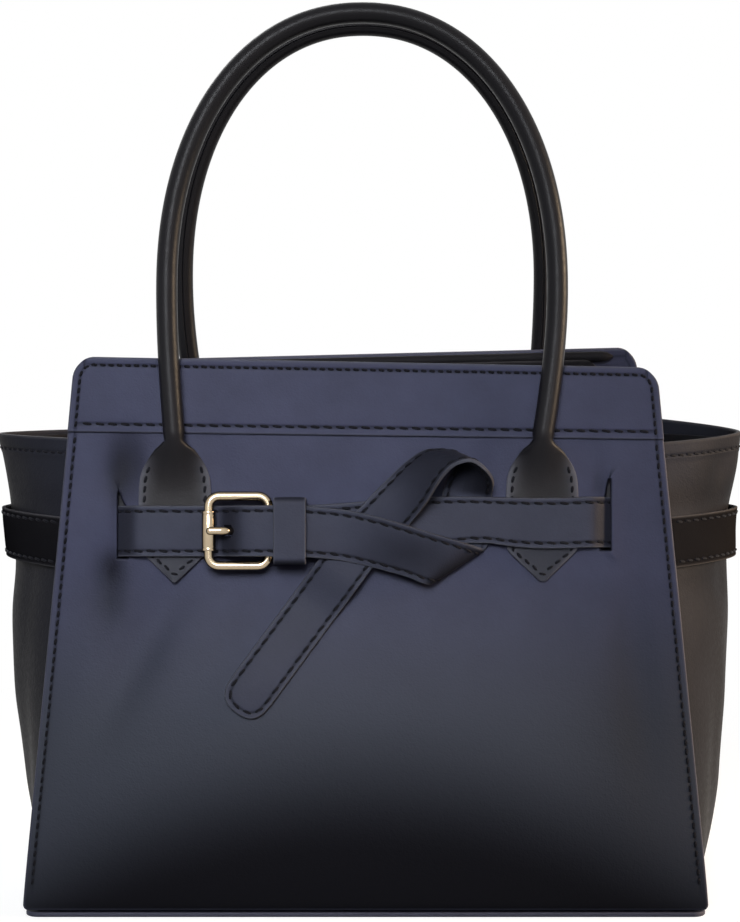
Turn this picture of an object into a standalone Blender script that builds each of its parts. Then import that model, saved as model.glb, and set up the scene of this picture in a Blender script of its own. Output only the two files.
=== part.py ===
"""A structured leather handbag with winged sides, two rolled handles and a knotted, buckled belt.

Metres, +Z up, front towards -Y. The origin is the middle of the underside of the base.
The front and back walls lean towards each other. Everything sewn to a wall is modelled in that
wall's own frame: x along the wall, z up its slope and -y out of its outer face. A place there is
given as across (x), up (z) and out (-y).
"""

import math

import bmesh
import bpy
import numpy as np
from mathutils import Matrix, Vector

# Body of the bag
BASE_WIDTH = 0.300
BASE_DEPTH = 0.150
BASE_THICKNESS = 0.0022
BASE_CORNER_RADIUS = 0.006
MOUTH_DEPTH = 0.090
WALL_HEIGHT = 0.240
WALL_TOP_WIDTH = 0.256
WALL_THICKNESS = 0.002
WALL_TOP_RADIUS = 0.009
WALL_FOOT_RADIUS = 0.003
BAND_HEIGHT = 0.029
BAND_THICKNESS = 0.0012
GAP = 0.0003

# Winged sides: how far the fold stands outside the foot of the side, at shares of the side's height
SIDE_HEIGHT = 0.207
SIDE_THICKNESS = 0.0016
SIDE_SEAM_INSET = 0.0045
SIDE_FLANGE = 0.0065
SIDE_FOOT_INSET = 0.0015
WING_REACH = 0.0215
WING_HEIGHT_SHARES = (0.0, 0.04, 0.10, 0.21, 0.40, 0.58, 0.72, 0.79, 0.86, 0.93, 1.0)
WING_REACH_SHARES = (0.0, 0.18, 0.35, 0.56, 0.74, 0.79, 0.77, 0.75, 0.765, 0.86, 1.0)
WING_ROUNDNESS = 1.6

# Boards, lining and facings inside
BOARD_THICKNESS = 0.002
BOARD_MARGIN = 0.011
STIFFENER_HALF_WIDTH = 0.100
STIFFENER_FOOT = 0.008
STIFFENER_TOP_MARGIN = 0.003
LINING_THICKNESS = 0.0008
LINING_HEIGHT = 0.195
LINING_SLACK = 0.0012
FACING_THICKNESS = 0.0012
FACING_HALF_WIDTH = 0.112
FACING_FOOT = 0.199
FACING_TOP_MARGIN = 0.004
SIDE_FACING_TOP_MARGIN = 0.0015
SNAP_HEIGHT = 0.222
SNAP_RADIUS = 0.007
SNAP_THICKNESS = 0.0022
SNAP_BOSS_RADIUS = 0.0025
SNAP_BOSS_HEIGHT = 0.0016

# Straps: layer 0 lies on the wall, and each further layer is one strap higher
STRAP_WIDTH = 0.0225
STRAP_THICKNESS = 0.0018
SLOT_ACROSS = 0.110
SLOT_WIDTH = 0.0064
SLOT_SLACK = 0.0006
SLOT_HEADROOM = 0.005
LEFT_SLOT_UP = 0.167
RIGHT_SLOT_UP = 0.171
ROOT_LENGTH = 0.011
SIDE_STRAP_UP = 0.163
SIDE_STRAP_STANDOFF = 0.0022
LAYER = STRAP_THICKNESS + GAP

# Buckle
WIRE_RADIUS = 0.0021
FRAME_LENGTH = 0.0304
FRAME_WIDTH = 0.0348
FRAME_CORNER_RADIUS = 0.0046
FRAME_LEFT = 0.0711
ROLLER_RADIUS = 0.0029
ROLLER_LENGTH = 0.0175
RUNNING_GAP = 0.0003
PRONG_RADIUS = 0.0018
PRONG_OVERHANG = 0.0018
EYE_RADIUS = 0.0034
PRONG_SLOT_WIDTH = 0.0048
HOLE_LENGTH = 0.0085
HOLE_WIDTH = 0.0048
KEEPER_LENGTH = 0.0142
KEEPER_THICKNESS = 0.001
KEEPER_SLACK = 0.0024

# Handles: each offset is how far across its wall a pair of tabs, or a handle's arch, is sewn off centre
TAB_SPACING = 0.1624
FRONT_TAB_OFFSET = -0.0032
BACK_TAB_OFFSET = -0.0006
TAB_WIDTH = 0.032
TAB_THICKNESS = 0.0016
TAB_POINT_UP = 0.1445
TAB_NECK_UP = 0.209
HANDLE_RADIUS = 0.0047
HANDLE_WALL = 0.0013
HANDLE_SPAN = 0.1726
FRONT_HANDLE_OFFSET = -0.0016
BACK_HANDLE_OFFSET = 0.0013
HANDLE_SPRING_UP = 0.275
HANDLE_APEX_UP = 0.397
HANDLE_ROUNDNESS = 2.14

# What follows from the sizes above
LEAN = math.asin((BASE_DEPTH - MOUTH_DEPTH) / 2 / WALL_HEIGHT)
WALL_FOOT = BASE_THICKNESS + GAP + WALL_THICKNESS * math.sin(LEAN)
SIDE_FOOT = BASE_THICKNESS + 3 * GAP
LINING_INSET = WALL_THICKNESS + BOARD_THICKNESS + 2 * GAP

# Modelling: how far a cutter runs past what it cuts, and how close corners must be to become one
OVERRUN = 0.010
WELD_DISTANCE = 1e-6

PARTS = "handbag"
CUTTERS = "handbag_cutters"


# Small helpers

def clear_scene():
    for old in list(bpy.data.objects):
        bpy.data.objects.remove(old)


def new_collection(name):
    collection = bpy.data.collections.new(name)
    bpy.context.scene.collection.children.link(collection)
    return collection


def material(name, colour, roughness, metallic=0.0):
    made = bpy.data.materials.new(name)
    made.use_nodes = True
    shader = made.node_tree.nodes["Principled BSDF"]
    shader.inputs["Base Color"].default_value = (*colour, 1.0)
    shader.inputs["Roughness"].default_value = roughness
    shader.inputs["Metallic"].default_value = metallic
    return made


def add_object(name, data, finish=None, frame=None, collection=PARTS):
    made = bpy.data.objects.new(name, data)
    bpy.data.collections[collection].objects.link(made)
    if finish is not None:
        data.materials.append(finish)
    made.parent = frame
    return made


def add_solidify(piece, thickness, offset=0.0):
    solidify = piece.modifiers.new("thickness", "SOLIDIFY")
    solidify.thickness = thickness
    solidify.offset = offset
    solidify.use_even_offset = True
    return piece


def add_boolean(piece, other, operation):
    boolean = piece.modifiers.new(operation.lower(), "BOOLEAN")
    boolean.object = other
    boolean.operation = operation
    return piece


def mark_cutter(cutter):
    cutter.hide_render = True
    cutter.display_type = "WIRE"
    return cutter


def shade_smooth(piece, angle=math.radians(35)):
    piece.data.shade_smooth()
    piece.data.set_sharp_from_angle(angle=angle)
    return piece


def wall_point(across, up, out):
    """A place in a wall's own frame."""
    return Vector((across, -out, up))


def layer_out(layer):
    """How far out of the wall the middle of a strap in this layer lies."""
    return GAP + STRAP_THICKNESS / 2 + layer * LAYER


def spline_through(rows, count):
    """Evenly timed points on a smooth curve through rows of numbers."""
    rows = np.array(rows, float)
    steps = np.linalg.norm(np.diff(rows[:, :3], axis=0), axis=1)
    times = np.concatenate([[0.0], np.cumsum(np.sqrt(steps))])
    padded = np.vstack([2 * rows[0] - rows[1], rows, 2 * rows[-1] - rows[-2]])
    found = []
    for time in np.linspace(0.0, times[-1], count):
        span = min(int(np.searchsorted(times, time, side="right")) - 1, len(rows) - 2)
        share = (time - times[span]) / (times[span + 1] - times[span])
        before, start, end, after = padded[span:span + 4]
        found.append(0.5 * (
            2 * start + (end - before) * share
            + (2 * before - 5 * start + 4 * end - after) * share ** 2
            + (3 * start - before - 3 * end + after) * share ** 3
        ))
    return found


# Mesh builders

def grid_object(name, columns, rows, place, finish, frame=None, wrapped=False, capped=False):
    """A grid whose corners place(column, row) puts somewhere, wrapped into a tube if asked."""
    mesh = bpy.data.meshes.new(name)
    sheet = bmesh.new()
    bmesh.ops.create_grid(sheet, x_segments=columns, y_segments=rows, size=0.5)
    for vertex in sheet.verts:
        column = round((vertex.co.x + 0.5) * columns)
        row = round((vertex.co.y + 0.5) * rows)
        vertex.co = place(column % columns if wrapped else column, row)
    if wrapped:
        bmesh.ops.remove_doubles(sheet, verts=sheet.verts, dist=WELD_DISTANCE)
    if capped:
        open_edges = [edge for edge in sheet.edges if edge.is_boundary]
        bmesh.ops.holes_fill(sheet, edges=open_edges, sides=columns)
    bmesh.ops.recalc_face_normals(sheet, faces=sheet.faces)
    sheet.to_mesh(mesh)
    sheet.free()
    return shade_smooth(add_object(name, mesh, finish, frame))


def mesh_from_curve(name, curve, finish, frame, turn=None):
    """Makes the curve a mesh object with its caps welded, and removes the curve."""
    source = add_object(name + "_curve", curve)
    bpy.context.view_layer.update()
    evaluated = source.evaluated_get(bpy.context.evaluated_depsgraph_get())
    mesh = bpy.data.meshes.new_from_object(evaluated)
    bpy.data.objects.remove(source)
    welded = bmesh.new()
    welded.from_mesh(mesh)
    bmesh.ops.remove_doubles(welded, verts=welded.verts, dist=WELD_DISTANCE)
    bmesh.ops.recalc_face_normals(welded, faces=welded.faces)
    welded.to_mesh(mesh)
    welded.free()
    if turn is not None:
        mesh.transform(turn)
    mesh.name = name
    mesh.materials.clear()
    return shade_smooth(add_object(name, mesh, finish, frame))


def poly_curve(name, points, cyclic=False, dimensions="3D"):
    curve = bpy.data.curves.new(name, "CURVE")
    curve.dimensions = dimensions
    spline = curve.splines.new("POLY")
    spline.points.add(len(points) - 1)
    for target, point in zip(spline.points, points):
        target.co = (*point, 1.0)
    spline.use_cyclic_u = cyclic
    return curve


def wire_curve(name, points, radius, cyclic=False):
    curve = poly_curve(name, points, cyclic)
    curve.bevel_depth = radius
    curve.bevel_resolution = 2
    curve.use_fill_caps = not cyclic
    return curve


def rounded_outline(corners, arc_steps=4):
    """The outline through (x, y, radius) corners, each turned with an arc."""
    outline = []
    for index, (x, y, radius) in enumerate(corners):
        here = Vector((x, y))
        before = (Vector(corners[index - 1][:2]) - here).normalized()
        after = (Vector(corners[(index + 1) % len(corners)][:2]) - here).normalized()
        if radius <= 0:
            outline.append(here)
            continue
        half = before.angle(after) / 2
        centre = here + (before + after).normalized() * radius / math.sin(half)
        start = here + before * radius / math.tan(half) - centre
        turn = math.pi - 2 * half
        side = 1 if start.cross(here - centre) > 0 else -1
        for step in range(arc_steps + 1):
            outline.append(centre + Matrix.Rotation(side * turn * step / arc_steps, 2) @ start)
    return outline


def plate(name, outline, thickness, inset, finish, frame):
    """A flat sheet in a wall's frame, with its outer face inset behind the wall's outer face."""
    curve = poly_curve(name, [(point.x, point.y, 0.0) for point in outline], True, "2D")
    curve.fill_mode = "BOTH"
    curve.extrude = thickness / 2
    stand_up = Matrix.Rotation(math.pi / 2, 4, "X")
    placed = Matrix.Translation((0.0, inset + thickness / 2, 0.0)) @ stand_up
    return mesh_from_curve(name, curve, finish, frame, placed)


def box(name, size, centre, finish=None, frame=None, collection=PARTS):
    mesh = bpy.data.meshes.new(name)
    solid = bmesh.new()
    bmesh.ops.create_cube(solid, size=1.0)
    bmesh.ops.scale(solid, vec=Vector(size), verts=solid.verts)
    bmesh.ops.translate(solid, vec=Vector(centre), verts=solid.verts)
    solid.to_mesh(mesh)
    solid.free()
    return add_object(name, mesh, finish, frame, collection)


def cylinder_cutter(name, radius, length, centre, frame, sides=24):
    """A cylinder that stands up the wall's slope."""
    mesh = bpy.data.meshes.new(name)
    solid = bmesh.new()
    bmesh.ops.create_cone(
        solid, cap_ends=True, segments=sides, radius1=radius, radius2=radius, depth=length
    )
    bmesh.ops.translate(solid, vec=centre, verts=solid.verts)
    solid.to_mesh(mesh)
    solid.free()
    return mark_cutter(add_object(name, mesh, None, frame, CUTTERS))


def turned(name, profile, finish, frame, location, rotation, steps=24):
    """A solid turned about its own Z axis from (radius, height) points, outer side first, top down."""
    mesh = bpy.data.meshes.new(name)
    outline = bmesh.new()
    corners = [outline.verts.new((radius, 0.0, height)) for radius, height in profile]
    for first, second in zip(corners, corners[1:]):
        outline.edges.new((first, second))
    outline.to_mesh(mesh)
    outline.free()
    made = add_object(name, mesh, finish, frame)
    screw = made.modifiers.new("turn", "SCREW")
    screw.steps = steps
    screw.render_steps = steps
    screw.use_merge_vertices = True
    screw.merge_threshold = WELD_DISTANCE
    made.location = location
    made.rotation_euler = rotation
    return made


# Walls, bands and stiffeners

def wall_half_width(up):
    return (BASE_WIDTH + (WALL_TOP_WIDTH - BASE_WIDTH) * up / WALL_HEIGHT) / 2


def make_wall_frame(name, side):
    """The empty that carries a leaning wall: side is -1 at the front and 1 at the back."""
    frame = bpy.data.objects.new(name, None)
    bpy.data.collections[PARTS].objects.link(frame)
    frame.location = (0.0, side * BASE_DEPTH / 2, WALL_FOOT)
    frame.rotation_euler = (-LEAN, 0.0, 0.0 if side < 0 else math.pi)
    return frame


def make_wall(prefix, frame, slot_heights, finishes):
    corners = (
        (-BASE_WIDTH / 2, 0.0, WALL_FOOT_RADIUS),
        (BASE_WIDTH / 2, 0.0, WALL_FOOT_RADIUS),
        (WALL_TOP_WIDTH / 2, WALL_HEIGHT, WALL_TOP_RADIUS),
        (-WALL_TOP_WIDTH / 2, WALL_HEIGHT, WALL_TOP_RADIUS),
    )
    panel = plate(
        prefix + "_panel", rounded_outline(corners), WALL_THICKNESS, 0.0, finishes["leather"], frame
    )
    slot_height = STRAP_WIDTH + 2 * SLOT_SLACK + SLOT_HEADROOM
    for side, up in slot_heights:
        cutter = box(
            f"{prefix}_slot_{'left' if side < 0 else 'right'}",
            (SLOT_WIDTH, WALL_THICKNESS + 2 * OVERRUN, slot_height),
            wall_point(side * SLOT_ACROSS, up + SLOT_HEADROOM / 2, 0.0),
            None, frame, CUTTERS,
        )
        add_boolean(panel, mark_cutter(cutter), "DIFFERENCE")

    band_foot = WALL_HEIGHT - BAND_HEIGHT
    band_corners = (
        (-wall_half_width(band_foot), band_foot, 0.0),
        (wall_half_width(band_foot), band_foot, 0.0),
        *corners[2:],
    )
    plate(
        prefix + "_top_band", rounded_outline(band_corners), BAND_THICKNESS,
        -GAP - BAND_THICKNESS, finishes["leather"], frame,
    )

    stiffener_top = WALL_HEIGHT - STIFFENER_TOP_MARGIN
    stiffener_corners = (
        (-STIFFENER_HALF_WIDTH, STIFFENER_FOOT, 0.0),
        (STIFFENER_HALF_WIDTH, STIFFENER_FOOT, 0.0),
        (STIFFENER_HALF_WIDTH, stiffener_top, 0.0),
        (-STIFFENER_HALF_WIDTH, stiffener_top, 0.0),
    )
    plate(
        prefix + "_stiffener", rounded_outline(stiffener_corners), BOARD_THICKNESS,
        WALL_THICKNESS + GAP, finishes["board"], frame,
    )

    facing_top = WALL_HEIGHT - FACING_TOP_MARGIN
    facing_corners = (
        (-FACING_HALF_WIDTH, FACING_FOOT, 0.0),
        (FACING_HALF_WIDTH, FACING_FOOT, 0.0),
        (FACING_HALF_WIDTH, facing_top, WALL_TOP_RADIUS),
        (-FACING_HALF_WIDTH, facing_top, WALL_TOP_RADIUS),
    )
    plate(
        prefix + "_facing", rounded_outline(facing_corners), FACING_THICKNESS,
        LINING_INSET, finishes["leather"], frame,
    )


def make_snap_half(name, frame, has_boss, finish):
    """Half of the magnetic snap: a disc on the facing, one with a boss and one with a recess for it."""
    if has_boss:
        middle = [
            (SNAP_BOSS_RADIUS, SNAP_THICKNESS),
            (SNAP_BOSS_RADIUS, SNAP_THICKNESS + SNAP_BOSS_HEIGHT),
            (0.0, SNAP_THICKNESS + SNAP_BOSS_HEIGHT),
        ]
    else:
        recess = SNAP_BOSS_RADIUS + GAP
        middle = [
            (recess, SNAP_THICKNESS),
            (recess, SNAP_THICKNESS - min(SNAP_BOSS_HEIGHT, SNAP_THICKNESS / 2)),
            (0.0, SNAP_THICKNESS - min(SNAP_BOSS_HEIGHT, SNAP_THICKNESS / 2)),
        ]
    profile = [*reversed(middle), (SNAP_RADIUS, SNAP_THICKNESS), (SNAP_RADIUS, 0.0), (0.0, 0.0)]
    inside = LINING_INSET + FACING_THICKNESS + GAP
    turned(
        name, profile, finish, frame, wall_point(0.0, SNAP_HEIGHT, -inside),
        (-math.pi / 2, 0.0, 0.0),
    )


# Base, winged sides and lining

def wall_inner_depth(height, inset):
    """How far from the middle a plane inset behind a wall's outer face lies, at a height."""
    return BASE_DEPTH / 2 - (height - WALL_FOOT) * math.tan(LEAN) - inset / math.cos(LEAN)


def side_seam_across(height):
    return wall_half_width((height - WALL_FOOT) / math.cos(LEAN)) - SIDE_SEAM_INSET


def wing_across(height):
    """How far out the fold of a winged side stands at a height."""
    share = (height - SIDE_FOOT) / (SIDE_HEIGHT - SIDE_FOOT)
    reach = float(np.interp(share, WING_HEIGHT_SHARES, WING_REACH_SHARES))
    return BASE_WIDTH / 2 - SIDE_FOOT_INSET + reach * WING_REACH


def side_curve(height, fold_extra=0.0, steps=12):
    """Plan points on the middle surface of a winged side, from the front seam to the back seam."""
    seam = side_seam_across(height)
    fold = wing_across(height)
    depth = wall_inner_depth(height, WALL_THICKNESS + GAP + SIDE_THICKNESS / 2)
    points = []
    for step in range(steps + 1):
        share = 2 * step / steps - 1
        bulge = 1 - abs(share) ** WING_ROUNDNESS
        points.append(Vector((seam + (fold + fold_extra - seam) * bulge, share * depth)))
    return points


def offset_curve(points, distance):
    """The plan curve moved sideways, outwards where distance is positive."""
    moved = []
    for index, point in enumerate(points):
        before = points[max(index - 1, 0)]
        after = points[min(index + 1, len(points) - 1)]
        along = (after - before).normalized()
        moved.append(point + Vector((along.y, -along.x)) * distance)
    return moved


def curve_between(points, depth, steps):
    """The part of a plan curve within +-depth, as evenly spaced depths."""
    depths = [point.y for point in points]
    across = [point.x for point in points]
    found = []
    for step in range(steps + 1):
        y = depth * (2 * step / steps - 1)
        found.append(Vector((float(np.interp(y, depths, across)), y)))
    return found


def side_heights(top):
    """Heights of the rows of a side surface that reaches up to top."""
    knots = [SIDE_FOOT + share * (SIDE_HEIGHT - SIDE_FOOT) for share in WING_HEIGHT_SHARES]
    return [knot for knot in knots if knot < top - LAYER] + [top]


def make_side(name, side, finish):
    heights = side_heights(SIDE_HEIGHT)
    rows = []
    for height in heights:
        curve = side_curve(height)
        flange = Vector((curve[0].x - SIDE_FLANGE, curve[0].y))
        rows.append([flange, *curve, Vector((flange.x, -flange.y))])

    def place(column, row):
        point = rows[row][column]
        return Vector((side * point.x, point.y, heights[row]))

    piece = grid_object(name, len(rows[0]) - 1, len(heights) - 1, place, finish)
    return add_solidify(piece, SIDE_THICKNESS)


def lining_loop(height, steps=10):
    """Plan outline of the lining's outer face at a height, once round from the front left."""
    depth = wall_inner_depth(height, LINING_INSET)
    inwards = SIDE_THICKNESS / 2 + LINING_SLACK
    side = curve_between(offset_curve(side_curve(height), -inwards), depth, steps)
    right = [Vector((point.x, point.y)) for point in side]
    left = [Vector((-point.x, point.y)) for point in reversed(side)]
    return right + left


def make_lining(finish):
    foot = BASE_THICKNESS + BOARD_THICKNESS + 3 * GAP
    heights = [foot, *[height for height in side_heights(LINING_HEIGHT) if height > foot + LAYER]]
    loops = [lining_loop(height) for height in heights]
    columns = len(loops[0])

    def place(column, row):
        point = loops[row][column]
        return Vector((point.x, point.y, heights[row]))

    lining = grid_object("lining", columns, len(heights) - 1, place, finish, wrapped=True)
    shell = bmesh.new()
    shell.from_mesh(lining.data)
    rim = [edge for edge in shell.edges if edge.is_boundary]
    floor_rim = [edge for edge in rim if edge.verts[0].co.z < foot + GAP]
    bmesh.ops.holes_fill(shell, edges=floor_rim, sides=columns)
    bmesh.ops.recalc_face_normals(shell, faces=shell.faces)
    shell.to_mesh(lining.data)
    shell.free()
    shade_smooth(lining)
    return add_solidify(lining, LINING_THICKNESS, -1.0)


def make_side_facing(name, side, finish):
    """The leather band sewn inside the top of a winged side, over the lining's edge."""
    heights = (LINING_HEIGHT + GAP, SIDE_HEIGHT - SIDE_FACING_TOP_MARGIN)
    inwards = SIDE_THICKNESS / 2 + 2 * GAP + FACING_THICKNESS / 2
    rows = []
    for height in heights:
        depth = wall_inner_depth(height, LINING_INSET + FACING_THICKNESS)
        curve = offset_curve(side_curve(height), -inwards)
        rows.append(curve_between(curve, depth, 12))

    def place(column, row):
        point = rows[row][column]
        return Vector((side * point.x, point.y, heights[row]))

    piece = grid_object(name, len(rows[0]) - 1, 1, place, finish)
    return add_solidify(piece, FACING_THICKNESS)


def make_side_strap(name, side, finish):
    """The stretch of belt that wraps a winged side, tucked behind the borders of both walls."""
    inwards = SIDE_THICKNESS / 2 + GAP + STRAP_THICKNESS / 2
    heights = [SIDE_STRAP_UP + STRAP_WIDTH * share for share in (-0.5, 0.0, 0.5)]
    rows = []
    for height in heights:
        depth = wall_inner_depth(height, WALL_THICKNESS + GAP + STRAP_THICKNESS)
        middle = offset_curve(side_curve(height, SIDE_STRAP_STANDOFF, steps=24), inwards)
        rows.append(curve_between(middle, depth, 16))

    def place(column, row):
        point = rows[row][column]
        return Vector((side * point.x, point.y, heights[row]))

    piece = grid_object(name, len(rows[0]) - 1, len(heights) - 1, place, finish)
    return add_solidify(piece, STRAP_THICKNESS)


def make_base(finishes):
    half_width = BASE_WIDTH / 2
    half_depth = BASE_DEPTH / 2
    corners = [
        (-half_width, -half_depth, BASE_CORNER_RADIUS),
        (half_width, -half_depth, BASE_CORNER_RADIUS),
        (half_width, half_depth, BASE_CORNER_RADIUS),
        (-half_width, half_depth, BASE_CORNER_RADIUS),
    ]
    curve = poly_curve("base", [(p.x, p.y, 0.0) for p in rounded_outline(corners)], True, "2D")
    curve.fill_mode = "BOTH"
    curve.extrude = BASE_THICKNESS / 2
    mesh_from_curve(
        "base_panel", curve, finishes["leather"], None,
        Matrix.Translation((0.0, 0.0, BASE_THICKNESS / 2)),
    )
    box(
        "base_board",
        (BASE_WIDTH - 2 * BOARD_MARGIN, BASE_DEPTH - 2 * BOARD_MARGIN, BOARD_THICKNESS),
        (0.0, 0.0, BASE_THICKNESS + GAP + BOARD_THICKNESS / 2),
        finishes["board"],
    )


# Belt

FRAME_PIVOT_ACROSS = -FRAME_LEFT + FRAME_LENGTH - WIRE_RADIUS
FRAME_BAR_ACROSS = -FRAME_LEFT + WIRE_RADIUS
CHAPE_LAYER = 1
PIVOT_OUT = layer_out(CHAPE_LAYER) + STRAP_THICKNESS / 2 + GAP + WIRE_RADIUS
ROLLER_OUT = layer_out(1) + STRAP_THICKNESS / 2 + GAP + ROLLER_RADIUS
WRAP_RADIUS = WIRE_RADIUS + RUNNING_GAP + STRAP_THICKNESS / 2
BILLET_CREST_OUT = PIVOT_OUT + WRAP_RADIUS + LAYER

# Between the roller (0) and the pivot bar (1): how far along, and how much of the billet's climb is done
BILLET_CLIMB_SHARES = (
    (0.10, 0.0), (0.20, 0.04), (0.29, 0.20), (0.38, 0.45), (0.46, 0.68), (0.57, 0.87), (0.74, 0.97),
    (1.0, 1.0),
)
# From the pivot bar (0) to the keeper's right edge (1): how far along, and how many layers lower
BILLET_FALL_SHARES = ((0.30, 0.18), (0.60, 1.05), (0.85, 1.60))
# The same for the chape's end, from its crest (0) down to the layer on the chape itself (1)
CHAPE_RETURN_SHARES = ((0.0, 0.0), (0.25, 0.18), (0.5, 0.72), (0.7, 1.0), (1.12, 1.0))
WRAP_STEPS = 8
HOLE_SHARE = 0.37
# Between the roller (0) and the pivot bar (1): how far along, and how high between the two
PRONG_SHARES = (
    (-0.02, 1.0), (0.06, 0.98), (0.12, 0.83), (0.18, 0.52), (0.25, 0.16), (0.33, -0.07), (0.46, -0.12),
    (0.91, -0.08),
)

# The knot, in strap widths from its middle: centre across and up, layer, the angle in the wall's plane
# and the lift out of it, in degrees, of the line from the strap's first edge to its second, and how
# long that line is, in strap widths
KNOT_ACROSS = 0.020
KNOT_SHARES = (
    (-1.940, -0.085, 3.40, 88, 0, 1.0), (-1.436, -0.126, 2.95, 85, 0, 1.0),
    (-0.929, -0.222, 3.24, 79, 1, 1.0), (-0.367, -0.371, 3.43, 75, 2, 1.0),
    (0.190, -0.540, 3.43, 62, 1, 1.0), (0.625, -0.685, 3.12, 44, 2, 1.15),
    (0.842, -0.740, 1.80, 36, 1, 1.22), (0.920, -0.725, 0.42, 33, 0, 1.18),
    (1.000, -0.600, 0.0, 24, 0, 1.08), (1.076, -0.017, 0.0, 1, 0, 1.0),
    (1.090, 0.420, 0.0, -1, 0, 1.0), (1.105, 0.680, 0.05, -2, 1, 1.0),
    (1.148, 0.860, 1.45, -5, 17, 1.0), (1.204, 1.080, 3.40, -15, 41, 1.0),
    (1.175, 1.272, 4.79, -27, 60, 1.0), (1.007, 1.391, 5.50, -31, 66, 1.0),
    (0.757, 1.395, 5.80, -36, 61, 1.0), (0.490, 1.320, 5.75, -38, 51, 1.0),
    (0.190, 1.050, 5.05, -32, 38, 1.0), (-0.065, 0.735, 3.86, -30, 22, 1.0),
    (-0.385, 0.370, 2.66, -32, 6, 1.0), (-0.700, 0.030, 2.05, -35, 1, 1.0),
    (-0.987, -0.295, 2.0, -36.4, 0, 1.0), (-1.369, -0.815, 2.0, -36.4, 0, 1.0),
    (-1.542, -1.050, 1.5, -36.4, 0, 1.0), (-1.742, -1.317, 0.6, -36.4, 0, 1.0),
    (-1.938, -1.584, 0.06, -36.4, 0, 1.0), (-2.364, -2.162, 0.0, -36.4, 0, 1.0),
    (-3.120, -3.188, 0.0, -36.4, 0, 1.0),
)
KNOT_STATIONS = 84
TAIL_NARROWING_SHARE = 0.06
TIP_ROUND_SHARES = (0.45, 0.75, 0.93, 0.995)
# The right strap at the knot, in strap widths: where and how long its lower edge is pinched and how
# deep, and where, how long and how high the knot pulls it up
PINCH_SHARES = (1.36, 0.60, 0.10)
PULL_SHARES = (0.45, 1.60, 0.10)

# A strap in its slot: shares of the slot's width that it starts to bend before either edge and is bent
# after it, and of the wall's thickness that it has then crossed
SLOT_EASE_SHARE = 0.10
SLOT_BEND_SHARE = 0.15
SLOT_CROSSED_SHARE = 0.12
# Past the slot: where its climb to its layer starts, how much of it is done there, and how long it is
CLIMB_START_SHARE = 0.35
CLIMB_DONE_SHARE = 0.30
CLIMB_LENGTH_SHARE = 1.7


def belt_up(across):
    """Height of the belt's middle line, which runs between the two slots."""
    start = keeper_left() + KEEPER_LENGTH
    share = (across - start) / (SLOT_ACROSS - start)
    return LEFT_SLOT_UP + (RIGHT_SLOT_UP - LEFT_SLOT_UP) * min(max(share, 0.0), 1.0)


def knot_bump(across, middle, length, height):
    """A smooth bump of this height at a place, all in strap widths from the knot."""
    return height * math.exp(-(((across - KNOT_ACROSS) / STRAP_WIDTH - middle) / length) ** 2)


def root_stations(side, up, layer):
    """Centres of a strap from its sewn root behind the wall, through the slot, to a layer in front."""
    behind = -(WALL_THICKNESS + GAP + STRAP_THICKNESS / 2)
    front = SLOT_ACROSS - SLOT_WIDTH / 2
    back = SLOT_ACROSS + SLOT_WIDTH / 2
    climb = front - CLIMB_START_SHARE * SLOT_WIDTH
    ease = SLOT_EASE_SHARE * SLOT_WIDTH
    bend = SLOT_BEND_SHARE * SLOT_WIDTH
    crossed = SLOT_CROSSED_SHARE * WALL_THICKNESS
    places = [
        (SLOT_ACROSS + ROOT_LENGTH, behind),
        (back + ease, behind),
        (back - bend, behind + crossed),
        (front + bend, layer_out(0) - crossed),
        (front - ease, layer_out(0)),
        (climb, layer_out(0) + CLIMB_DONE_SHARE * LAYER * layer),
        (climb - CLIMB_LENGTH_SHARE * LAYER * layer, layer_out(layer)),
    ]
    return [(side * across, up, out) for across, out in places]


def upright(centre, width_share=1.0):
    """A station where the strap's line from edge to edge stands straight up the wall."""
    return (*centre, 0.0, width_share, 0.0)


def ribbon(name, stations, finish, frame, columns=2, tip_rounded=False):
    """A strap through stations of (across, up, out, and the edge-to-edge vector in strap widths)."""
    rows = []
    for station in stations:
        centre = wall_point(*station[:3])
        edge = wall_point(*station[3:]) * STRAP_WIDTH / 2
        rows.append((centre, edge))
    if tip_rounded:
        centre, edge = rows[-1]
        ahead = (centre - rows[-2][0]).normalized() * STRAP_WIDTH / 2
        rows += [
            (centre + ahead * share, edge * math.sqrt(1 - share * share))
            for share in TIP_ROUND_SHARES
        ]

    def place(column, row):
        centre, edge = rows[row]
        return centre + edge * (2 * column / columns - 1)

    piece = grid_object(name, columns, len(rows) - 1, place, finish, frame)
    return add_solidify(piece, STRAP_THICKNESS)


def billet_stations():
    """The left strap: out of its slot, under the roller, over the pivot bar, and round the knot."""
    up = LEFT_SLOT_UP
    rows = [upright(place) for place in root_stations(-1, up, 1)]
    spacing = FRAME_PIVOT_ACROSS - FRAME_BAR_ACROSS
    low = layer_out(1)
    rows.append(upright((FRAME_BAR_ACROSS - ROLLER_RADIUS, up, low)))
    for along, climb in BILLET_CLIMB_SHARES:
        across = FRAME_BAR_ACROSS + along * spacing
        rows.append(upright((across, up, low + climb * (BILLET_CREST_OUT - low))))
    for along, fall in BILLET_FALL_SHARES:
        across = FRAME_PIVOT_ACROSS + along * (keeper_left() + KEEPER_LENGTH - FRAME_PIVOT_ACROSS)
        rows.append(upright((across, up, BILLET_CREST_OUT - fall * LAYER)))
    return rows


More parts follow.
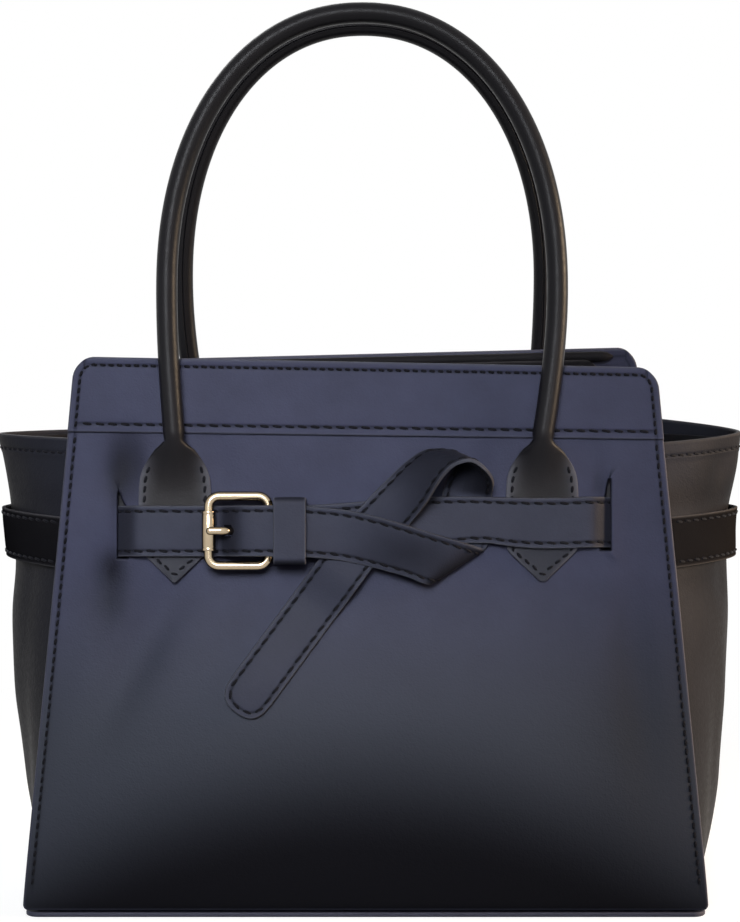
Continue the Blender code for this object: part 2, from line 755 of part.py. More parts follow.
def knot_stations():
    rows = []
    middle_up = belt_up(KNOT_ACROSS)
    for across, up, layer, angle, lift, length in KNOT_SHARES:
        turn = math.radians(angle)
        tilt = math.radians(lift)
        rows.append((
            KNOT_ACROSS + across * STRAP_WIDTH, middle_up + up * STRAP_WIDTH, layer_out(layer),
            math.cos(turn) * math.cos(tilt), math.sin(turn) * math.cos(tilt), math.sin(tilt), length,
        ))
    stations = []
    for step, row in enumerate(spline_through(rows, KNOT_STATIONS)):
        narrowed = row[6] * (1 - TAIL_NARROWING_SHARE * step / KNOT_STATIONS)
        edge = Vector(row[3:6]).normalized() * narrowed
        stations.append((row[0], row[1], max(row[2], layer_out(0)), *edge))
    return stations


def make_billet(finish, frame):
    straight = billet_stations()
    billet = ribbon("billet_strap", [*straight, *knot_stations()], finish, frame, 2, tip_rounded=True)
    spacing = FRAME_PIVOT_ACROSS - FRAME_BAR_ACROSS
    hole = box(
        "billet_hole", (HOLE_LENGTH, 4 * OVERRUN, HOLE_WIDTH),
        wall_point(FRAME_BAR_ACROSS + HOLE_SHARE * spacing, LEFT_SLOT_UP, layer_out(1)),
        None, frame, CUTTERS,
    )
    return add_boolean(billet, mark_cutter(hole), "DIFFERENCE")


def make_chape(finish, frame):
    """The right strap: out of its slot, over the handle's tab, round the pivot bar and back on itself."""
    roots = [upright(place) for place in root_stations(1, RIGHT_SLOT_UP, CHAPE_LAYER)]
    rows = list(roots)
    level = layer_out(CHAPE_LAYER)
    for across in np.linspace(roots[-1][0], FRAME_PIVOT_ACROSS, 17)[1:]:
        pinch = knot_bump(across, *PINCH_SHARES)
        up = belt_up(across) + (knot_bump(across, *PULL_SHARES) + pinch / 2) * STRAP_WIDTH
        rows.append(upright((across, up, level), 1 - pinch))
    for step in range(1, WRAP_STEPS):
        angle = math.pi * step / WRAP_STEPS
        rows.append(upright((
            FRAME_PIVOT_ACROSS - WRAP_RADIUS * math.sin(angle), LEFT_SLOT_UP,
            PIVOT_OUT - WRAP_RADIUS * math.cos(angle),
        )))
    keeper_right = keeper_left() + KEEPER_LENGTH
    crest = PIVOT_OUT + WRAP_RADIUS
    flat = layer_out(CHAPE_LAYER + 1)
    for share, fall in CHAPE_RETURN_SHARES:
        across = FRAME_PIVOT_ACROSS + share * (keeper_right - FRAME_PIVOT_ACROSS)
        rows.append(upright((across, belt_up(across), crest + fall * (flat - crest))))
    chape = ribbon("chape_strap", rows, finish, frame)
    slot = box(
        "chape_slot", (2 * EYE_RADIUS + 6 * GAP, 4 * OVERRUN, PRONG_SLOT_WIDTH),
        wall_point(FRAME_PIVOT_ACROSS, LEFT_SLOT_UP, PIVOT_OUT),
        None, frame, CUTTERS,
    )
    return add_boolean(chape, mark_cutter(slot), "DIFFERENCE")


def keeper_left():
    return FRAME_PIVOT_ACROSS + WIRE_RADIUS + GAP


def make_keeper(finish, frame):
    """The loop that holds the billet down on the chape."""
    inner_half = STRAP_WIDTH / 2 + KEEPER_SLACK
    low = GAP + KEEPER_THICKNESS / 2
    high = BILLET_CREST_OUT + STRAP_THICKNESS / 2 + GAP + KEEPER_THICKNESS / 2
    half = inner_half + KEEPER_THICKNESS / 2
    corner = KEEPER_THICKNESS
    outline = rounded_outline([
        (-half, -low, corner), (half, -low, corner), (half, -high, corner), (-half, -high, corner),
    ], 2)

    def place(column, row):
        point = outline[column]
        return Vector((keeper_left() + row * KEEPER_LENGTH, point.y, LEFT_SLOT_UP + point.x))

    keeper = grid_object("strap_keeper", len(outline), 1, place, finish, frame, wrapped=True)
    return add_solidify(keeper, KEEPER_THICKNESS)


def make_frame_wire(finish, frame):
    """The buckle's rounded frame, which tilts from the roller bar down to the pivot bar."""
    half = FRAME_WIDTH / 2 - WIRE_RADIUS
    corners = [
        (FRAME_BAR_ACROSS, -half, FRAME_CORNER_RADIUS), (FRAME_PIVOT_ACROSS, -half, FRAME_CORNER_RADIUS),
        (FRAME_PIVOT_ACROSS, half, FRAME_CORNER_RADIUS), (FRAME_BAR_ACROSS, half, FRAME_CORNER_RADIUS),
    ]
    points = []
    for point in rounded_outline(corners):
        share = (point.x - FRAME_BAR_ACROSS) / (FRAME_PIVOT_ACROSS - FRAME_BAR_ACROSS)
        out = ROLLER_OUT + (PIVOT_OUT - ROLLER_OUT) * share
        points.append(wall_point(point.x, LEFT_SLOT_UP + point.y, out))
    curve = wire_curve("buckle_frame", points, WIRE_RADIUS, cyclic=True)
    return mesh_from_curve("buckle_frame", curve, finish, frame)


def make_roller(finish, frame):
    inner = WIRE_RADIUS + RUNNING_GAP
    half = ROLLER_LENGTH / 2
    profile = [
        (ROLLER_RADIUS, half), (ROLLER_RADIUS, -half), (inner, -half), (inner, half), (ROLLER_RADIUS, half),
    ]
    return turned(
        "buckle_roller", profile, finish, frame,
        wall_point(FRAME_BAR_ACROSS, LEFT_SLOT_UP, ROLLER_OUT), (0.0, 0.0, 0.0),
    )


def make_prong(finish, frame):
    """The prong: an eye round the pivot bar and a shank that climbs through the billet's hole."""
    spacing = FRAME_PIVOT_ACROSS - FRAME_BAR_ACROSS
    high = ROLLER_OUT + ROLLER_RADIUS + GAP + PRONG_RADIUS
    rows = []
    for along, share in PRONG_SHARES:
        rows.append((
            FRAME_BAR_ACROSS + along * spacing, LEFT_SLOT_UP, PIVOT_OUT + share * (high - PIVOT_OUT),
        ))
    rows.insert(0, (rows[0][0] - PRONG_OVERHANG, LEFT_SLOT_UP, high))
    points = [wall_point(*row) for row in spline_through(rows, 16)]
    curve = wire_curve("buckle_prong", points, PRONG_RADIUS)
    prong = mesh_from_curve("buckle_prong", curve, finish, frame)
    pivot = wall_point(FRAME_PIVOT_ACROSS, LEFT_SLOT_UP, PIVOT_OUT)
    eye = cylinder_cutter("prong_eye", EYE_RADIUS, 2 * PRONG_RADIUS, pivot, frame)
    bore = cylinder_cutter("prong_bore", WIRE_RADIUS + RUNNING_GAP, 4 * PRONG_RADIUS, pivot, frame)
    add_boolean(prong, eye, "UNION")
    return add_boolean(prong, bore, "DIFFERENCE")


def make_rear_strap(finish, frame, up):
    """The plain run of belt across the back, from slot to slot over both tabs."""
    left = [upright(place) for place in root_stations(-1, up, 1)]
    right = [upright(place) for place in root_stations(1, up, 1)]
    return ribbon("rear_strap", [*left, *reversed(right)], finish, frame)


# Handles and their tabs

def handle_out():
    return GAP + BAND_THICKNESS + GAP + HANDLE_RADIUS


def leg_across(side, up, tab_offset, arch_offset):
    """Where a handle's leg runs at a height: it leans from the tab out to the arch."""
    share = math.sin(math.pi / 2 * (up - TAB_NECK_UP) / (HANDLE_SPRING_UP - TAB_NECK_UP))
    offset = tab_offset + (arch_offset - tab_offset) * share
    half = (TAB_SPACING + (HANDLE_SPAN - TAB_SPACING) * share) / 2
    return offset + side * half


def handle_path(tab_offset, arch_offset, leg_steps=4, arch_steps=20):
    """Points (across, up) from the left neck, over the arch, to the right neck."""
    foot = TAB_NECK_UP + GAP
    rise = HANDLE_SPRING_UP - foot
    legs = {}
    for side in (-1, 1):
        heights = [foot + rise * step / leg_steps for step in range(leg_steps)]
        legs[side] = [(leg_across(side, up, tab_offset, arch_offset), up) for up in heights]
    arch = []
    power = 2 / HANDLE_ROUNDNESS
    for step in range(arch_steps + 1):
        angle = math.pi * step / arch_steps
        cosine, sine = math.cos(angle), max(math.sin(angle), 0.0)
        across = -math.copysign(abs(cosine) ** power, cosine) * HANDLE_SPAN / 2
        up = HANDLE_SPRING_UP + sine ** power * (HANDLE_APEX_UP - HANDLE_SPRING_UP)
        arch.append((arch_offset + across, up))
    return [*legs[-1], *arch, *reversed(legs[1])]


def make_handle(prefix, offsets, frame, finishes, sides=12):
    path = [Vector(point) for point in handle_path(*offsets)]
    out = handle_out()

    def tube(radius):
        def place(column, row):
            after = path[min(row + 1, len(path) - 1)]
            before = path[max(row - 1, 0)]
            along = (after - before).normalized()
            if row in (0, len(path) - 1):
                along = Vector((0.0, 1.0 if row == 0 else -1.0))
            angle = 2 * math.pi * column / sides
            middle = path[row] + Vector((along.y, -along.x)) * math.cos(angle) * radius
            return wall_point(middle.x, middle.y, out + math.sin(angle) * radius)
        return place

    rows = len(path) - 1
    sleeve = grid_object(
        prefix + "_handle_sleeve", sides, rows, tube(HANDLE_RADIUS), finishes["leather"], frame,
        wrapped=True,
    )
    add_solidify(sleeve, HANDLE_WALL, -1.0)
    grid_object(
        prefix + "_handle_core", sides, rows, tube(HANDLE_RADIUS - HANDLE_WALL - GAP),
        finishes["core"], frame, wrapped=True, capped=True,
    )


# Up a tab from its point to its neck: share of the way, of half its width left, of the way from flat
# to round
TAB_SHARES = (
    (0.0, 0.05, 0.0), (0.22, 0.98, 0.0), (0.30, 1.0, 0.0), (0.59, 1.0, 0.0), (0.66, 0.99, 0.07),
    (0.73, 0.96, 0.22), (0.80, 0.85, 0.42), (0.86, 0.69, 0.60), (0.92, 0.52, 0.80), (1.0, 0.0, 1.0),
)
# Powers of a tab's section: an ellipse at the neck, and nearly a rectangle where it is flat
ROUND_POWER = 2.0
FLAT_POWER = 4.5


def tab_section(width_share, round_share):
    """Half width, half thickness, middle distance out and squareness of a tab's section."""
    half_width = max(width_share * TAB_WIDTH / 2, HANDLE_RADIUS * round_share)
    half_thickness = TAB_THICKNESS / 2 + (HANDLE_RADIUS - TAB_THICKNESS / 2) * round_share
    back = GAP + (handle_out() - HANDLE_RADIUS - GAP) * round_share ** 2
    squareness = ROUND_POWER + (FLAT_POWER - ROUND_POWER) * (1 - round_share)
    return half_width, half_thickness, back + half_thickness, squareness


def make_tab(name, side, offset, frame, finish, sides=16):
    """A handle's flared end, sewn flat to the wall under the belt, and pointed below it."""
    across = offset + side * TAB_SPACING / 2
    rows = []
    for along, width_share, round_share in TAB_SHARES:
        up = TAB_POINT_UP + along * (TAB_NECK_UP - TAB_POINT_UP)
        rows.append((up, *tab_section(width_share, round_share)))

    def place(column, row):
        up, half_width, half_thickness, out, squareness = rows[row]
        angle = 2 * math.pi * (column + 0.5) / sides
        power = 2 / squareness
        aside = math.copysign(abs(math.cos(angle)) ** power, math.cos(angle)) * half_width
        outwards = math.copysign(abs(math.sin(angle)) ** power, math.sin(angle)) * half_thickness
        return wall_point(across + aside, up, out + outwards)

    return grid_object(name, sides, len(rows) - 1, place, finish, frame, wrapped=True, capped=True)


# Assembly

def make_finishes():
    return {
        "leather": material("leather", (0.020, 0.021, 0.034), 0.42),
        "strap": material("strap_leather", (0.016, 0.017, 0.024), 0.40),
        "lining": material("lining_cloth", (0.030, 0.030, 0.036), 0.85),
        "board": material("board", (0.30, 0.24, 0.17), 0.90),
        "core": material("handle_cord", (0.55, 0.50, 0.42), 0.90),
        "metal": material("gilt_metal", (0.85, 0.68, 0.40), 0.22, 1.0),
        "magnet": material("snap_metal", (0.62, 0.60, 0.56), 0.30, 1.0),
    }


def main():
    clear_scene()
    new_collection(PARTS)
    new_collection(CUTTERS)
    finishes = make_finishes()
    front = make_wall_frame("front_wall_frame", -1)
    back = make_wall_frame("back_wall_frame", 1)
    rear_up = (LEFT_SLOT_UP + RIGHT_SLOT_UP) / 2

    make_base(finishes)
    make_wall("front", front, ((-1, LEFT_SLOT_UP), (1, RIGHT_SLOT_UP)), finishes)
    make_wall("back", back, ((-1, rear_up), (1, rear_up)), finishes)
    make_snap_half("magnet_stud", front, True, finishes["magnet"])
    make_snap_half("magnet_socket", back, False, finishes["magnet"])
    make_lining(finishes["lining"])
    for word, side in (("left", -1), ("right", 1)):
        make_side(word + "_side", side, finishes["leather"])
        make_side_facing(word + "_side_facing", side, finishes["leather"])
        make_side_strap(word + "_side_strap", side, finishes["strap"])
        make_tab(f"front_{word}_tab", side, FRONT_TAB_OFFSET, front, finishes["leather"])
        make_tab(f"back_{word}_tab", -side, BACK_TAB_OFFSET, back, finishes["leather"])
    make_handle("front", (FRONT_TAB_OFFSET, FRONT_HANDLE_OFFSET), front, finishes)
    make_handle("back", (BACK_TAB_OFFSET, BACK_HANDLE_OFFSET), back, finishes)
    make_billet(finishes["strap"], front)
    make_chape(finishes["strap"], front)
    make_keeper(finishes["strap"], front)
    make_frame_wire(finishes["metal"], front)
    make_roller(finishes["metal"], front)
    make_prong(finishes["metal"], front)
    make_rear_strap(finishes["strap"], back, rear_up)


main()
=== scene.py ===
# %% [markdown]
# # A structured black handbag with a knotted belt
#
# The frame that is loaded here is the bag as its cutter planned it: 34 stiff, plain solids at their real
# size, with the joints that let the handles fold and the buckle move. This lesson dresses those solids in
# leather, thread, cloth and gilt metal. Every piece is built as a fine mesh from the same few sizes and takes
# the place of its plain solid; all but the handles and their cords are parented to an empty for their body.

import math

import bpy
import numpy as np
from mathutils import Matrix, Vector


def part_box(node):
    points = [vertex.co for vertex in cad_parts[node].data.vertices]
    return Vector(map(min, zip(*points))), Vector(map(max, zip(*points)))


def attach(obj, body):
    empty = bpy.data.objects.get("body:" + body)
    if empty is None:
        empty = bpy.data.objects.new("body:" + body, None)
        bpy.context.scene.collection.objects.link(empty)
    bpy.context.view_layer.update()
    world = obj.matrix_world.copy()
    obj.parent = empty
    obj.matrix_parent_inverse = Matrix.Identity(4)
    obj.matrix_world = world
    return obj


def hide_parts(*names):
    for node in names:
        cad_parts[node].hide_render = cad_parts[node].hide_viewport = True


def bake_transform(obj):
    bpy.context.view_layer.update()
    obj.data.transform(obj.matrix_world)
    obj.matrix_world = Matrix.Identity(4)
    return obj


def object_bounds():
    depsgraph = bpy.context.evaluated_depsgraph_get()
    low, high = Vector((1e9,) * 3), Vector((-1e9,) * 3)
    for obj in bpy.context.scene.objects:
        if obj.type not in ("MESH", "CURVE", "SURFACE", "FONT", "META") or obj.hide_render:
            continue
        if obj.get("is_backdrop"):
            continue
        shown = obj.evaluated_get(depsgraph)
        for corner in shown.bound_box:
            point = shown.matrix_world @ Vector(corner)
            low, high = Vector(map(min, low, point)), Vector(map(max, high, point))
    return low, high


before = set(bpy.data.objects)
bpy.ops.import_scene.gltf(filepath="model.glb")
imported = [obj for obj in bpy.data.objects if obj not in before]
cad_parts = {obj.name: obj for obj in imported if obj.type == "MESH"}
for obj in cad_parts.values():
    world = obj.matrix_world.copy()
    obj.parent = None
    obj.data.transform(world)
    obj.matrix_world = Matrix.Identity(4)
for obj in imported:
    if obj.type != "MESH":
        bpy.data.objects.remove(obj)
cad_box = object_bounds()

# %% [markdown]
# ## The two leaning walls
#
# Front and back lean towards each other, and nearly everything is sewn to one of them. A wall is a flat
# pattern, so each place is easiest to give as the cutter would: across the wall, up its slope and out of
# its outer face, in millimetres. One function turns such places into the frame's own axes. Matrices on
# parent empties would do it too, but a function works on whole grids of points at once.

# %% Places on a wall
MM = 0.001
FRONT = -1
BACK = 1
WALLS = (("front", FRONT), ("back", BACK))
SIDES = (("left", -1), ("right", 1))
base_low, base_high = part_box("base_panel")
BASE_WIDTH = (base_high.x - base_low.x) / MM
BASE_DEPTH = (base_high.y - base_low.y) / MM
BASE_THICKNESS = (base_high.z - base_low.z) / MM
MOUTH_DEPTH = 90.0
WALL_HEIGHT = 240.0
WALL_TOP_WIDTH = 256.0
WALL_THICKNESS = 2.0
GAP = 0.3
LEAN = math.asin((BASE_DEPTH - MOUTH_DEPTH) / 2 / WALL_HEIGHT)
WALL_FOOT = BASE_THICKNESS + GAP + WALL_THICKNESS * math.sin(LEAN)


def on_wall(wall, across, up, out=0.0):
    """Frame places, in millimetres, of places on a wall: across it, up its slope and out of its face."""
    across, up, out = np.broadcast_arrays(*(np.asarray(value, float) for value in (across, up, out)))
    return np.stack([
        -wall * across,
        wall * (BASE_DEPTH / 2 + out * math.cos(LEAN) - up * math.sin(LEAN)),
        WALL_FOOT + out * math.sin(LEAN) + up * math.cos(LEAN),
    ], axis=-1)


def wall_half_width(up):
    return (BASE_WIDTH + (WALL_TOP_WIDTH - BASE_WIDTH) * up / WALL_HEIGHT) / 2


print("base", round(BASE_WIDTH, 1), "x", round(BASE_DEPTH, 1), "mm, walls lean", round(math.degrees(LEAN), 2))

# %% [markdown]
# ## Leather under the lens
#
# The bag is smooth, lightly grained leather, nearly black with a blue cast. Close up it is never one
# colour: pores make a fine bump, the finish is cloudy, the gloss varies, and cut or turned edges are paler,
# partly because the finish is thin there and partly as a painted highlight. All of that is worked out from
# noise in the object's own coordinates, so it needs no pictures and no unwrapping. Painted shade makes the
# foot of the bag darker, and greyer above that, and painted shade darkens the leather where it rolls away
# from its wall, in place of a soft gloss. The meshes carry one number, edge, that is 1 on an edge and -1 in
# a stitched groove or a shaded place, where shade is painted.

# %% Helpers for shader nodes
def add_node(tree, kind, inputs=None, **settings):
    """Adds a node with its settings, and links or sets its inputs."""
    made = tree.nodes.new(kind)
    for setting, value in settings.items():
        setattr(made, setting, value)
    for socket, value in (inputs or {}).items():
        if isinstance(value, bpy.types.NodeSocket):
            tree.links.new(value, made.inputs[socket])
        else:
            made.inputs[socket].default_value = value
    return made


def new_finish(name, colour, roughness, **sockets):
    """A material with its Principled shader, and the object coordinates that its textures use."""
    made = bpy.data.materials.new(name)
    made.use_nodes = True
    tree = made.node_tree
    shader = tree.nodes["Principled BSDF"]
    shader.inputs["Base Color"].default_value = (*colour, 1.0)
    shader.inputs["Roughness"].default_value = roughness
    for socket, value in sockets.items():
        shader.inputs[socket].default_value = value
    places = add_node(tree, "ShaderNodeTexCoord").outputs["Object"]
    return made, tree, shader, places


def bump_chain(tree, shader, layers):
    """Stacks bumps given as (height, strength, distance in millimetres)."""
    normal = None
    for height, strength, distance in layers:
        inputs = {"Height": height, "Strength": strength, "Distance": distance * MM}
        if normal is not None:
            inputs["Normal"] = normal
        normal = add_node(tree, "ShaderNodeBump", inputs).outputs["Normal"]
    tree.links.new(normal, shader.inputs["Normal"])


def mixed_colour(tree, share, first, second):
    inputs = {0: share}
    for socket, colour in ((6, first), (7, second)):
        inputs[socket] = (*colour, 1.0) if isinstance(colour, tuple) else colour
    return add_node(tree, "ShaderNodeMix", inputs, data_type="RGBA").outputs[2]


def scaled(colour, share):
    return tuple(value * share for value in colour)


def maths(tree, operation, *values):
    """One step of arithmetic on shader values."""
    return add_node(tree, "ShaderNodeMath", dict(enumerate(values)), operation=operation).outputs[0]


def remapped(tree, value, low, high, to_low=0.0, to_high=1.0, smooth=False):
    """A value moved from one range to another and held at the ends."""
    return add_node(tree, "ShaderNodeMapRange", {
        "Value": value, "From Min": low, "From Max": high, "To Min": to_low, "To Max": to_high,
    }, interpolation_type="SMOOTHSTEP" if smooth else "LINEAR").outputs["Result"]


def noise(tree, places, scale, detail, roughness=0.5, distortion=0.0):
    return add_node(tree, "ShaderNodeTexNoise", {
        "Vector": places, "Scale": scale, "Detail": detail, "Roughness": roughness, "Distortion": distortion,
    }).outputs["Fac"]


def squareness(tree, power):
    """How squarely a surface faces out of its wall: 1 straight out, falling to 0 where it rolls away."""
    normal = add_node(tree, "ShaderNodeTexCoord").outputs["Normal"]
    turned = add_node(tree, "ShaderNodeSeparateXYZ", {"Vector": normal}).outputs
    above = maths(tree, "MULTIPLY", turned["Z"], math.sin(LEAN))
    ahead = maths(tree, "MULTIPLY_ADD", maths(tree, "ABSOLUTE", turned["Y"]), math.cos(LEAN), above)
    return maths(tree, "POWER", maths(tree, "MAXIMUM", ahead, 0.0), power)


print("shader helpers ready")

# %% Leather
# Painted shade: the leather is painted darker and greyer towards the foot between these heights, in metres;
# the dark part is an arch
FOOT_SHADE_LOW = 0.028
FOOT_SHADE_HIGH = 0.095
FOOT_SHADE_ARCH = 2.2
FOOT_SHADE_DARKNESS = 1.0
GREY_TOP = 0.16
GREY_FOOT = 0.07
GREY_COLOUR = (0.046, 0.050, 0.064)
PAINTED_SHEEN_POWER = 9.0
PAINTED_SHADE_DARKNESS = 0.80
PAINTED_SHADE_COLOUR = (0.004, 0.004, 0.006)


def leather(name, colour, edge_colour, roughness=0.44, grain=0.55, gloss=0.05, painted_foot_shade=False, painted_sheen=0.0,
            painted_sheen_power=PAINTED_SHEEN_POWER, painted_rolloff_colour=PAINTED_SHADE_COLOUR, foot_colour=None):
    """Grained leather: pores, fine creases, a cloudy finish and paler edges, partly a painted highlight.

    Painted shade: the foot of a wall can be painted darker and greyer, and a share sets how much painted
    shade darkens the leather where it rolls away from its wall."""
    made, tree, shader, places = new_finish(name, colour, roughness, **{"Specular IOR Level": gloss})
    pores = add_node(tree, "ShaderNodeTexVoronoi", {"Vector": places, "Scale": 1150.0}).outputs["Distance"]
    creases = noise(tree, places, 430.0, 4.0, 0.62, 0.6)
    clouds = noise(tree, places, 34.0, 5.0, 0.6)
    shade = mixed_colour(tree, remapped(tree, clouds, 0.34, 0.68), scaled(colour, 0.90), scaled(colour, 1.10))
    # Painted shade: darker and greyer towards the foot, darkest in an arch low in the middle
    if painted_foot_shade:
        place = add_node(tree, "ShaderNodeSeparateXYZ", {"Vector": places}).outputs
        square = maths(tree, "MULTIPLY", place["X"], place["X"])
        arch = maths(tree, "MULTIPLY_ADD", square, FOOT_SHADE_ARCH, place["Z"])
        greyer = remapped(tree, place["Z"], GREY_TOP, GREY_FOOT, smooth=True)
        foot_shade_share = remapped(tree, arch, FOOT_SHADE_LOW, FOOT_SHADE_HIGH, FOOT_SHADE_DARKNESS, 0.0, smooth=True)
        shade = mixed_colour(tree, greyer, shade, GREY_COLOUR)
        shade = mixed_colour(tree, foot_shade_share, shade, PAINTED_SHADE_COLOUR)
    # Painted shade: darker where the leather rolls away from its wall, in place of a soft gloss
    if painted_sheen:
        rolled = remapped(tree, squareness(tree, painted_sheen_power), 1.0, 0.0, 0.0, painted_sheen)
        shade = mixed_colour(tree, rolled, shade, painted_rolloff_colour)
    if foot_colour:
        flat = add_node(tree, "ShaderNodeAttribute", attribute_name="foot").outputs["Fac"]
        shade = mixed_colour(tree, flat, shade, foot_colour)
    # Paler edges, partly edge wear and partly a painted highlight; painted shade in grooves and shaded places
    edge_wear_and_painted_light = add_node(tree, "ShaderNodeAttribute", attribute_name="edge").outputs["Fac"]
    shade = mixed_colour(tree, edge_wear_and_painted_light, shade, edge_colour)
    # Painted shade: where edge is below 0 the leather is painted darker
    groove = remapped(tree, edge_wear_and_painted_light, 0.0, -1.0, 0.0, PAINTED_SHADE_DARKNESS)
    tree.links.new(mixed_colour(tree, groove, shade, PAINTED_SHADE_COLOUR), shader.inputs["Base Color"])
    tree.links.new(
        remapped(tree, creases, 0.3, 0.7, roughness - 0.05, roughness + 0.07), shader.inputs["Roughness"]
    )
    bump_chain(tree, shader, [(clouds, 0.16, 1.2), (creases, grain, 0.22), (pores, grain * 0.8, 0.12)])
    return made


# Paler edge colour: partly edge wear, partly a painted highlight
EDGE_COLOUR = (0.068, 0.069, 0.096)
BODY_COLOUR = (0.045, 0.047, 0.079)
panel_leather = leather("panel_leather", BODY_COLOUR, EDGE_COLOUR, painted_foot_shade=True, painted_sheen=0.85)
strap_leather = leather("strap_leather", (0.041, 0.043, 0.062), (0.072, 0.073, 0.090), painted_sheen=0.70)
handle_leather = leather("handle_leather", (0.015, 0.0135, 0.0145), (0.085, 0.084, 0.100), 0.36, 0.30, 0.11,
                         painted_sheen=0.75, foot_colour=(0.022, 0.0225, 0.031))
inner_leather = leather("inner_leather", (0.010, 0.0095, 0.011), (0.03, 0.028, 0.03), 0.55)
print("leathers:", [m.name for m in bpy.data.materials if "leather" in m.name])

# %% [markdown]
# ## Thread, cloth, board and metal
#
# The thread is thick, black and waxed, with the twist of its strands as a fine bump. The lining is a
# plain weave, which sets of waves at right angles make. The boards are pressed fibre and only show if the
# bag comes apart. The buckle is cast, plated pale gold and polished, so its look is reflection with faint
# smears in the polish and a painted dark reflection where its wire rolls away, and the magnetic snap is a
# duller grey metal with a finer grain.

# %% Thread and cloth
def thread_finish():
    made, tree, shader, places = new_finish(
        "black_thread", (0.003, 0.003, 0.005), 0.6, **{"Specular IOR Level": 0.08}
    )
    strands = add_node(tree, "ShaderNodeTexWave", {
        "Vector": places, "Scale": 700.0, "Distortion": 1.5, "Detail": 2.0,
    }, bands_direction="DIAGONAL")
    fuzz = noise(tree, places, 2200.0, 3.0)
    colour = mixed_colour(tree, fuzz, (0.003, 0.003, 0.005), (0.008, 0.008, 0.011))
    tree.links.new(colour, shader.inputs["Base Color"])
    bump_chain(tree, shader, [(strands.outputs["Fac"], 0.5, 0.15), (fuzz, 0.2, 0.05)])
    return made


def woven_finish(name, colour, scale):
    """Plain weave: warp and weft as crossing sets of waves, one along each axis."""
    made, tree, shader, places = new_finish(name, colour, 0.85, **{"Sheen Weight": 0.25})
    waves = []
    for way in "XZY":
        bands = add_node(tree, "ShaderNodeTexWave", {"Vector": places, "Scale": scale}, bands_direction=way)
        waves.append(bands.outputs["Fac"])
    weave = maths(tree, "ADD", waves[0], maths(tree, "ADD", *waves[1:]))
    slubs = noise(tree, places, 90.0, 4.0)
    tree.links.new(mixed_colour(tree, slubs, scaled(colour, 0.7), colour), shader.inputs["Base Color"])
    bump_chain(tree, shader, [(slubs, 0.2, 0.5), (weave, 0.4, 0.15)])
    return made


black_thread = thread_finish()
lining_cloth = woven_finish("lining_cloth", (0.034, 0.033, 0.038), 1500.0)
cord_cotton = woven_finish("cord_cotton", (0.55, 0.50, 0.42), 900.0)
print("thread and cloth ready")


# %% Board and metal
def board_finish():
    made, tree, shader, places = new_finish("fibre_board", (0.30, 0.24, 0.17), 0.9)
    fibres = noise(tree, places, 260.0, 6.0, distortion=2.0)
    colour = mixed_colour(tree, fibres, (0.22, 0.17, 0.12), (0.38, 0.31, 0.23))
    tree.links.new(colour, shader.inputs["Base Color"])
    bump_chain(tree, shader, [(fibres, 0.3, 0.2)])
    return made


def metal_finish(name, colour, roughness, smear_scale, bump, painted_reflection_share=0.0):
    """Polished or brushed metal.

    The last argument is the share of painted dark reflection where the metal rolls away.
    """
    made, tree, shader, places = new_finish(name, colour, roughness, **{"Metallic": 1.0})
    smears = noise(tree, places, smear_scale, 5.0, 0.65)
    varied = remapped(tree, smears, 0.35, 0.7, roughness * 0.75, roughness * 1.5)
    tree.links.new(varied, shader.inputs["Roughness"])
    shade = mixed_colour(tree, smears, colour, scaled(colour, 0.86))
    # Painted reflection: darker towards a brown near-black where the metal rolls away from the wall
    if painted_reflection_share:
        rolled = remapped(tree, squareness(tree, 2.0), 0.9, 0.1, 0.0, painted_reflection_share)
        shade = mixed_colour(tree, rolled, shade, PAINTED_REFLECTION_COLOUR)
    tree.links.new(shade, shader.inputs["Base Color"])
    bump_chain(tree, shader, [(smears, 0.12, bump)])
    return made


# The colour of the painted dark reflection on the metal
PAINTED_REFLECTION_COLOUR = (0.09, 0.062, 0.035)
fibre_board = board_finish()
gilt_metal = metal_finish("gilt_metal", (0.52, 0.42, 0.29), 0.2, 120.0, 0.15, painted_reflection_share=0.9)
snap_metal = metal_finish("snap_metal", (0.62, 0.60, 0.56), 0.30, 420.0, 0.08)
for board_node in ("base_board", "front_stiffener", "back_stiffener"):
    for material_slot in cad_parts[board_node].material_slots:
        material_slot.material = fibre_board
print("board and metal ready")

# %% [markdown]
# ## Two faces and an edge
#
# Leather pieces are sheets with thickness. A Solidify modifier would give that, but only with square
# edges, and a bag is judged by its edges. So a sheet here is two grids of points, an outer and an inner
# face, whose half thickness shrinks to nothing along the border. Where the two faces meet they share their
# points, so the mesh is one closed skin and the edge is as round, or as square, as its profile says.

# %% Lengths along a line
def unit(vectors):
    return vectors / np.linalg.norm(vectors, axis=-1, keepdims=True)


def lengths_along(line):
    """How far along a line of points each of them lies."""
    return np.concatenate([[0.0], np.cumsum(np.linalg.norm(np.diff(line, axis=0), axis=1))])


def at_lengths(rows, length, places):
    """Rows of numbers, given at lengths along a line, read off at other places on it."""
    return np.stack([np.interp(places, length, rows[:, k]) for k in range(rows.shape[1])], axis=-1)


def full_turn(steps):
    """Angles of so many even steps once round."""
    return 2 * np.pi * np.arange(steps) / steps


print("line helpers ready")

